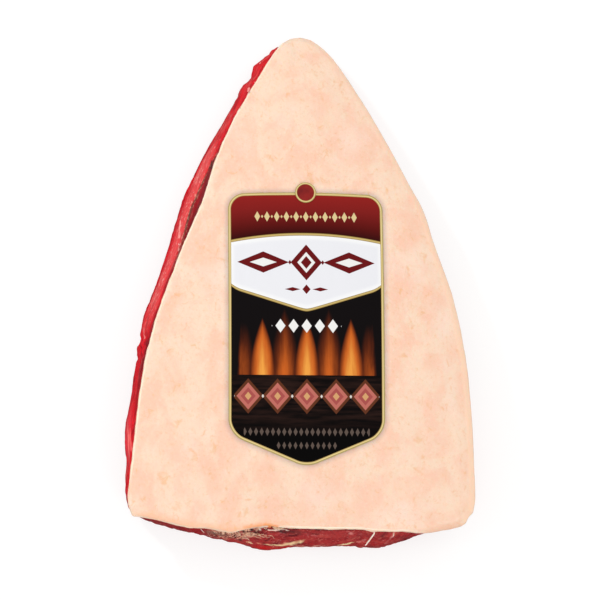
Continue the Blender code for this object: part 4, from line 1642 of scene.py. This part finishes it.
    def _relief(self, points: np.ndarray, cut: np.ndarray) -> tuple[np.ndarray, np.ndarray]:
        """The muscle's bundles: long ones down the flanks, and their ends across the cut face.

        Args:
            points: The skin's points.
            cut: Where the cut face is.

        Returns:
            How high each point lies on its bundle, from 0 to 1, and how far it is moved out, in metres.
        """
        long, fine, ends = (wave.bundles(points) for wave in (self.long, self.fine, self.ends))
        calm = ease(self.calm.at(points), -0.05, 0.25)
        tip = ease(points[:, 1], 0.085, 0.115)
        strength = (1 - 0.6 * calm) * (1 - 0.6 * tip)
        flank = self.rolls.at(points) + (self.long.raised(long) + self.fine.raised(fine)) * strength
        face = self.ends.raised(ends) + self.pits.at(points)
        side = (long * 0.6 + fine * 0.4) * strength + 0.62 * (1 - strength)
        return side * (1 - cut) + ends * cut, flank * (1 - cut) + face * cut


@dataclass(frozen=True)
class Strand:
    """A thread of tissue, in millimetres: across and back in plan, or across and over the seam."""

    path: tuple[tuple[float, float], ...]
    width: float
    tip: float = 0.3
    sink: float = 0.25
    upright: bool = False


@dataclass
class Tissue:
    """Sinew, torn shreds and ragged flaps of membrane between lean and fat, along the cut end."""

    lean: BVHTree
    fat: BVHTree
    sinew: tuple = (
        Strand(((39.0, -130.8), (38.9, -132.2), (37.8, -133.8), (36.5, -135.8), (35.2, -137.8)), 0.46, 0.7),
        Strand(((49.6, -131.4), (49.7, -132.0), (49.6, -132.8), (49.4, -133.6)), 0.20),
        Strand(((-24.2, -0.8), (-22.2, 0.6), (-21.3, 1.4), (-19.2, 1.9), (-17.2, 1.0)), 0.42, upright=True),
        Strand(((-53.6, -129.8), (-52.6, -130.6), (-51.6, -131.3), (-50.8, -131.9)), 0.18),
    )
    orange: tuple = (
        Strand(((-18.4, 1.0), (-16.6, 0.6), (-14.2, 0.2)), 0.85, 0.5, upright=True),
        Strand(((-31.1, 0.6), (-27.6, 0.2), (-25.4, 0.3)), 0.5, upright=True),
    )
    cream: tuple = (
        Strand(((-17.2, 0.2), (-13.6, 0.5), (-8.6, 0.3), (-4.8, 0.4)), 0.7, 0.4, upright=True),
        Strand(((-15.6, -0.6), (-11.6, -0.9), (-9.4, -0.7)), 0.35, upright=True),
        Strand(((29.4, 0.4), (33.9, 0.0), (38.0, -0.3), (41.0, 0.2)), 0.62, 0.2, 0.4, upright=True),
    )
    torn_from: float = -48.0
    torn_to: float = -12.0
    shred_count: int = 64
    shred_place: tuple[float, float] = (-32.0, 8.0)
    shred_turn: tuple[float, float] = (-0.12, 0.38)
    shred_lengths: tuple[float, float] = (1.4, 5.4)
    shred_widths: tuple[float, float] = (0.11, 0.27)
    flap_count: int = 10
    flap_thickness: float = 0.22 * MM
    strand_step: float = 0.45
    miss_height: float = 0.02
    seed: int = 11

    def build(self) -> None:
        """Builds the strands of each kind as one piece, and the flaps as another."""
        white = SinewFinish("sinew", shade(252, 236, 222), shade(240, 206, 190)).material()
        cream = SinewFinish("soft_fat", shade(246, 218, 182), shade(222, 176, 140)).material()
        amber = SinewFinish("amber_fat", shade(238, 150, 84), shade(214, 112, 58)).material()
        torn = SinewFinish("torn_tissue", shade(236, 186, 158), shade(150, 80, 62)).material()
        self._piece("sinew", self.sinew, white)
        self._piece("ledge_fat", self.cream, cream)
        self._piece("amber_fat", self.orange, amber)
        self._piece("shreds", self._shreds(), torn)
        flaps = self._finish("membrane", self._flaps(), torn)
        thick = flaps.modifiers.new("thick", "SOLIDIFY")
        thick.thickness = self.flap_thickness
        thick.offset = 0

    def _shreds(self) -> list[Strand]:
        """Scatters short torn threads along the upper edge of the cut end.

        Returns:
            The threads.
        """
        draw = np.random.default_rng(self.seed)
        strands = []
        for _ in range(self.shred_count):
            x = min(self.torn_to, max(self.torn_from, draw.normal(*self.shred_place)))
            y = -131.2 - 0.05 * (x - self.torn_from) - abs(draw.normal(0, 1.3 if x < -29.0 else 0.7))
            turn = draw.normal(*self.shred_turn)
            length = draw.uniform(*self.shred_lengths)
            bend = draw.normal(0, 0.5)
            arm = np.array([math.cos(turn), math.sin(turn)]) * length / 2
            side = np.array([-arm[1], arm[0]]) * bend * 0.6
            middle = np.array([x, y])
            path = (tuple(middle - arm), tuple(middle + side), tuple(middle + arm))
            strands.append(Strand(path, draw.uniform(*self.shred_widths)))
        return strands

    def _flaps(self) -> bmesh.types.BMesh:
        """Makes ragged flaps that hang from the seam and stand off the face below it.

        Returns:
            Their sheets.
        """
        draw = np.random.default_rng(self.seed + 1)
        work = bmesh.new()
        for _ in range(self.flap_count):
            middle, width = draw.uniform(self.torn_from, self.torn_to), draw.uniform(3.0, 8.0)
            drop, lift, slant = draw.uniform(0.8, 2.4), draw.uniform(0.3, 0.9), draw.normal(0, 0.9)
            phase = draw.uniform(0, 50)
            made = bmesh.ops.create_grid(work, x_segments=9, y_segments=6, size=0.5)
            for vert in made["verts"]:
                u, v = vert.co.x + 0.5, vert.co.y + 0.5
                ragged = 0.65 + 0.8 * noise.noise(Vector((u * 5.0, phase, 0)))
                v *= max(0.15, ragged * math.sin(math.pi * min(0.95, max(0.05, u))) ** 0.4)
                x = middle + (u - 0.5) * width * (1 - 0.35 * v) + slant * v * drop
                seam = self._seam(x * MM)
                z = seam + (0.4 - v * drop) * MM
                away = 0.15 + lift * v * v + 0.25 * noise.noise(Vector((u * 6.0, v * 4.0, phase)))
                front = self._front(x * MM, z, self.lean)
                vert.co = (x * MM, front - max(0.12, away) * MM, z)
        return work

    def _front(self, x: float, z: float, tree: BVHTree) -> float:
        """How far forward a surface reaches at a height, or a far point behind it where it has none."""
        hit = tree.ray_cast(Vector((x, -1.0, z)), Vector((0, 1, 0)))[0]
        return 0.0 if hit is None else hit.y

    def _seam(self, x: float) -> float:
        """Finds the height at which the fat's face gives way to the lean's.

        Args:
            x: A place across, in metres.

        Returns:
            The height, in metres.
        """
        for step in range(80):
            z = (42.0 - 0.4 * step) * MM
            if self._front(x, z, self.lean) < self._front(x, z, self.fat) - 0.2 * MM:
                return z
        return 20.0 * MM

    def _piece(self, name: str, strands: Sequence[Strand], material: bpy.types.Material) -> None:
        """Joins strands as one piece.

        Args:
            name: The piece's name.
            strands: Its strands.
            material: Its material.
        """
        work = bmesh.new()
        for index, strand in enumerate(strands):
            mesh = self._tube(f"{name}_{index}", strand)
            work.from_mesh(mesh)
            bpy.data.meshes.remove(mesh)
        bmesh.ops.remove_doubles(work, verts=work.verts, dist=0.002 * MM)
        self._finish(name, work, material)

    def _finish(self, name: str, work: bmesh.types.BMesh, material: bpy.types.Material) -> bpy.types.Object:
        """Turns a mesh's faces outwards and makes it a piece.

        Args:
            name: The piece's name.
            work: Its mesh, which is freed.
            material: Its material.

        Returns:
            The piece.
        """
        bmesh.ops.recalc_face_normals(work, faces=work.faces)
        piece = placed(name, mesh_of(work, name))
        piece.data.shade_smooth()
        adopt(piece, material, "fat")
        return piece

    def _tube(self, name: str, strand: Strand) -> bpy.types.Mesh:
        """Makes a tapered tube along a strand's path, laid on the surface.

        Args:
            name: The mesh's name.
            strand: The strand.

        Returns:
            The mesh.
        """
        knots = np.array(strand.path)
        lengths = np.concatenate(([0], np.cumsum(np.linalg.norm(np.diff(knots, axis=0), axis=1))))
        count = max(6, int(lengths[-1] / self.strand_step))
        where = np.linspace(0, lengths[-1], count)
        across, other = (np.interp(where, lengths, knots[:, k]) for k in range(2))
        laid = self._on_face(across, other) if strand.upright else self._on_lean(across, other)
        for _ in range(2):
            laid[1:-1] = laid[:-2] * 0.25 + laid[1:-1] * 0.5 + laid[2:] * 0.25
        lift = Vector((0, -1, 0)) if strand.upright else Vector((0, 0, 1))
        lift *= (1 - strand.sink * 2) * strand.width * MM
        curve = bpy.data.curves.new(name, "CURVE")
        curve.dimensions = "3D"
        curve.bevel_depth = strand.width * MM
        curve.bevel_resolution = 2
        curve.use_fill_caps = True
        spline = curve.splines.new("POLY")
        spline.points.add(count - 1)
        for k, point in enumerate(spline.points):
            point.co = (*(Vector(laid[k]) + lift), 1)
            share = k / (count - 1)
            point.radius = strand.tip + (1 - strand.tip) * math.sin(math.pi * min(1, max(0, share))) ** 0.5
        mesh = finished(placed(name, curve))
        bpy.data.curves.remove(curve)
        return mesh

    def _on_lean(self, across: np.ndarray, back: np.ndarray) -> np.ndarray:
        """Lays points of the plan on the lean, from above.

        Args:
            across: The points' x, in millimetres.
            back: Their y.

        Returns:
            The points, in metres.
        """
        rows = []
        for x, y in zip(across * MM, back * MM):
            hit = from_above(self.lean, x, y)
            rows.append((x, y, self.miss_height) if hit is None else tuple(hit))
        return np.array(rows)

    def _on_face(self, across: np.ndarray, over: np.ndarray) -> np.ndarray:
        """Lays points on the front of the fat and the lean.

        Args:
            across: The points' x, in millimetres.
            over: Their heights over the seam.

        Returns:
            The points, in metres.
        """
        rows = []
        for x, rise in zip(across, over):
            z = self._seam(x * MM) + rise * MM
            front = min(self._front(x * MM, z, tree) for tree in (self.lean, self.fat))
            rows.append((x * MM, front, z))
        return np.array(rows)


@dataclass
class Label:
    """The printed label and its badge, lying on the fat."""

    rim: float = 1.5 * MM
    top_radius: float = 8.5 * MM
    shoulder_radius: float = 12.0 * MM
    point_radius: float = 14.0 * MM
    point_drop: float = 0.4 * MM
    shoulder_rise: float = 17.0 * MM
    arch: float = 1.0 * MM
    arch_cuts: int = 15
    badge_radius: float = 5.6 * MM
    badge_rim: float = 1.05 * MM
    badge_lift: float = 0.4 * MM
    badge_sides: int = 48
    corner_steps: int = 10
    cell: float = 3.0 * MM
    lift: float = 0.30 * MM
    card: float = 0.55 * MM

    def flat_tree(self) -> BVHTree:
        """Makes a search tree over the sheet's outline, flat at height 0.

        Returns:
            The tree.
        """
        work = self._sheet_outline()
        tree = BVHTree.FromBMesh(work)
        work.free()
        return tree

    def build(self, fat: bpy.types.Object) -> None:
        """Builds the sheet and the badge.

        Args:
            fat: The piece that they lie on.
        """
        _, _, middle, top = self._measures()
        gold = FoilFinish().material()
        print_ink = PrintFinish(middle=middle / MM, top=top / MM).material()
        sheet = self._lay(self._sheet_outline(), fat, "label_sheet", self.lift)
        badge = self._lay(self._badge_outline(), fat, "label_badge", self.lift + self.badge_lift)
        for piece, ink, nodes in ((sheet, print_ink, ("label",)), (badge, InkFinish().material(), ())):
            piece.data.materials.append(gold)
            piece.data.materials.append(ink)
            adopt(piece, gold, "label", *nodes)

    def _measures(self) -> tuple[Vector, Vector, float, float]:
        """The label's lowest and highest corner, its middle line's x, and its top edge's y."""
        low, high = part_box("label")
        return low, high, (low.x + high.x) / 2, high.y - self.badge_radius

    def _sheet_outline(self) -> bmesh.types.BMesh:
        """Makes a flat face with the label's outline, and its rim as faces of their own.

        Returns:
            The flat mesh.
        """
        low, high, middle, top = self._measures()
        work = bmesh.new()
        shoulder = low.y + self.shoulder_rise
        corners = (
            (low.x, top - self.arch, self.top_radius),
            (low.x, shoulder, self.shoulder_radius),
            (middle, low.y - self.point_drop, self.point_radius),
            (high.x, shoulder, self.shoulder_radius),
            (high.x, top - self.arch, self.top_radius),
        )
        verts = [work.verts.new((x, y, 0)) for x, y, _ in corners]
        work.faces.new(verts)
        for vert, (_, _, radius) in zip(verts, corners):
            self._round(work, vert, radius)
        upper = [e for e in work.edges if all(v.co.y > top - self.arch - 1e-6 for v in e.verts)]
        bmesh.ops.subdivide_edges(work, edges=upper, cuts=self.arch_cuts)
        half = (high.x - low.x) / 2
        for vert in work.verts:
            if vert.co.y > top - self.arch - self.top_radius:
                vert.co.y += self.arch * (1 - ((vert.co.x - middle) / half) ** 2)
        bmesh.ops.recalc_face_normals(work, faces=work.faces)
        self._frame(work, self.rim)
        return work

    def _round(self, work: bmesh.types.BMesh, vert: bmesh.types.BMVert, radius: float) -> None:
        """Rounds one corner of a flat face.

        Args:
            work: The flat mesh.
            vert: The corner.
            radius: How round it becomes.
        """
        arms = [edge.other_vert(vert).co - vert.co for edge in vert.link_edges]
        bmesh.ops.bevel(
            work,
            geom=[vert],
            offset=radius / math.tan(arms[0].angle(arms[1]) / 2),
            offset_type="OFFSET",
            segments=self.corner_steps,
            profile=0.5,
            affect="VERTICES",
            material=-1,
        )

    def _frame(self, work: bmesh.types.BMesh, width: float) -> None:
        """Splits a rim off the one flat face, which becomes material 1.

        Args:
            work: The flat mesh.
            width: The rim's width.
        """
        face = work.faces[:][0]
        bmesh.ops.inset_region(work, faces=[face], use_boundary=True, thickness=width, use_even_offset=True)
        for other in work.faces:
            other.material_index = 0
        face.material_index = 1
        rim = work.verts.layers.float.new(Zone.RIM.value)
        for vert in face.verts:
            vert[rim] = 1.0

    def _badge_outline(self) -> bmesh.types.BMesh:
        """Makes a flat disc with a rim.

        Returns:
            The flat mesh.
        """
        _, _, middle, top = self._measures()
        work = bmesh.new()
        place = Matrix.Translation((middle, top, 0))
        size = {"segments": self.badge_sides, "radius": self.badge_radius}
        bmesh.ops.create_circle(work, cap_ends=True, matrix=place, **size)
        self._frame(work, self.badge_rim)
        return work

    def _lay(
        self, work: bmesh.types.BMesh, fat: bpy.types.Object, name: str, lift: float
    ) -> bpy.types.Object:
        """Divides a flat outline into cells, lays it down on the fat and gives it a thickness.

        Args:
            work: The flat outline, which is freed.
            fat: What it lies on.
            name: The new piece's name.
            lift: How far its face stands above the fat.

        Returns:
            The new piece.
        """
        for axis in (Axis.X, Axis.Y):
            places = [v.co[axis.value] for v in work.verts]
            low, width = min(places), max(places) - min(places)
            count = max(2, round(width / self.cell))
            normal = Vector((1, 0, 0)) if axis is Axis.X else Vector((0, 1, 0))
            for k in range(1, count):
                cut = normal * (low + width * k / count)
                geometry = work.verts[:] + work.edges[:] + work.faces[:]
                bmesh.ops.bisect_plane(work, geom=geometry, dist=1e-7, plane_co=cut, plane_no=normal)
        bmesh.ops.triangulate(work, faces=work.faces)
        tree = tree_of(fat)
        for vert in work.verts:
            vert.co.z = from_above(tree, vert.co.x, vert.co.y).z
        axes = {"use_axis_x": False, "use_axis_y": False, "use_axis_z": True}
        bmesh.ops.smooth_vert(work, verts=work.verts, factor=0.5, **axes)
        bmesh.ops.recalc_face_normals(work, faces=work.faces)
        if sum(face.normal.z for face in work.faces) < 0:
            bmesh.ops.reverse_faces(work, faces=work.faces)
        for vert in work.verts:
            vert.co.z += lift
        piece = placed(name, mesh_of(work, name))
        thick = piece.modifiers.new("card", "SOLIDIFY")
        thick.thickness = self.card
        thick.offset = -1
        return piece


@dataclass(frozen=True)
class Lamp:
    """A square soft light that points at the object, in metres and watts."""

    name: str
    place: tuple[float, float, float]
    size: float
    power: float

    def build(self) -> None:
        """Hangs the light."""
        data = bpy.data.lights.new(self.name, "AREA")
        data.shape = "SQUARE"
        data.size = self.size
        data.energy = self.power
        lamp = placed(self.name, data)
        lamp.location = self.place
        lamp.rotation_euler = (-Vector(self.place)).to_track_quat("-Z", "Y").to_euler()


@dataclass
class Studio:
    """A pale sweep, soft lights overhead, and the camera almost straight above the fat."""

    camera_distance: float = 1.8
    sensor: float = 36.0
    lean_forward: float = 7.0
    lean_left: float = 5.0
    view_width: float = 0.32227
    sky_light: float = 0.96
    ground_light: float = 0.08
    ground_below: float = -0.26
    sky_above: float = -0.06
    floor_half: float = 12.0
    floor_drop: float = 0.3 * MM
    aim: tuple[float, float, float] = (-0.00098, -0.0035, 0.030)
    offset: tuple[float, float] = (0.00054, -0.00322)
    lamps: tuple[Lamp, ...] = (
        Lamp("key", (-1.0, 0.8, 1.2), 0.1, 6.5),
        Lamp("front_fill", (0.9, -1.4, 1.0), 0.6, 3.6),
        Lamp("window", (-1.2, -0.2, 0.8), 0.25, 1.8),
    )

    def build(self) -> None:
        """Builds the floor, the world, the lights and the camera."""
        self._floor()
        self._world()
        for lamp in self.lamps:
            lamp.build()
        self._camera()

    def _floor(self) -> None:
        """Lays the pale floor just under the object."""
        work = bmesh.new()
        bmesh.ops.create_grid(work, x_segments=8, y_segments=8, size=self.floor_half)
        bmesh.ops.translate(work, verts=work.verts, vec=(0, 0, -self.floor_drop))
        floor = placed("floor", mesh_of(work, "floor"))
        floor.data.materials.append(FloorFinish().material())
        floor.visible_glossy = False

    def _world(self) -> None:
        """Fills the scene with even pale light from above, over a dark ground that only reflections see."""
        world = bpy.data.worlds.new("studio")
        world.use_nodes = True
        tree = world.node_tree
        parts = tree.nodes.new("ShaderNodeSeparateXYZ")
        sky = tree.nodes.new("ShaderNodeMapRange")
        sky.interpolation_type = "SMOOTHSTEP"
        ends = {"From Min": self.ground_below, "From Max": self.sky_above, "To Min": self.ground_light}
        for key, value in ends.items():
            sky.inputs[key].default_value = value
        background = tree.nodes["Background"]
        background.inputs["Strength"].default_value = self.sky_light
        for output, socket in (
            (tree.nodes.new("ShaderNodeTexCoord").outputs["Generated"], parts.inputs[0]),
            (parts.outputs["Z"], sky.inputs["Value"]),
            (sky.outputs["Result"], background.inputs["Color"]),
        ):
            tree.links.new(output, socket)
        bpy.context.scene.world = world
        bpy.context.scene.view_settings.view_transform = "Standard"

    def _camera(self) -> None:
        """Sets the camera above the fat, with the tip up in its frame."""
        back_x = -math.sin(math.radians(self.lean_left))
        back_y = -math.sin(math.radians(self.lean_forward))
        back = Vector((back_x, back_y, math.sqrt(1 - back_x**2 - back_y**2)))
        right = Vector((0, 1, 0)).cross(back).normalized()
        up = back.cross(right)
        lens = bpy.data.cameras.new("camera")
        lens.sensor_width = self.sensor
        lens.lens = self.sensor * self.camera_distance / self.view_width
        lens.clip_start = 0.05
        camera = placed("camera", lens)
        aim = Vector(self.aim) + right * self.offset[0] + up * self.offset[1]
        turn = Matrix((right, up, back)).transposed().to_4x4()
        camera.matrix_world = Matrix.Translation(aim + back * self.camera_distance) @ turn
        bpy.context.scene.camera = camera


def main() -> None:
    """Builds the studio and every piece."""
    logging.basicConfig(level=logging.INFO, format="%(name)s %(message)s")
    Studio().build()
    label = Label()
    fat, edges = FatCap().build(label.flat_tree())
    lean = Lean().build(edges)
    Tissue(tree_of(lean), tree_of(fat)).build()
    label.build(fat)
    bpy.context.view_layer.update()


if __name__ == "__main__":
    main()
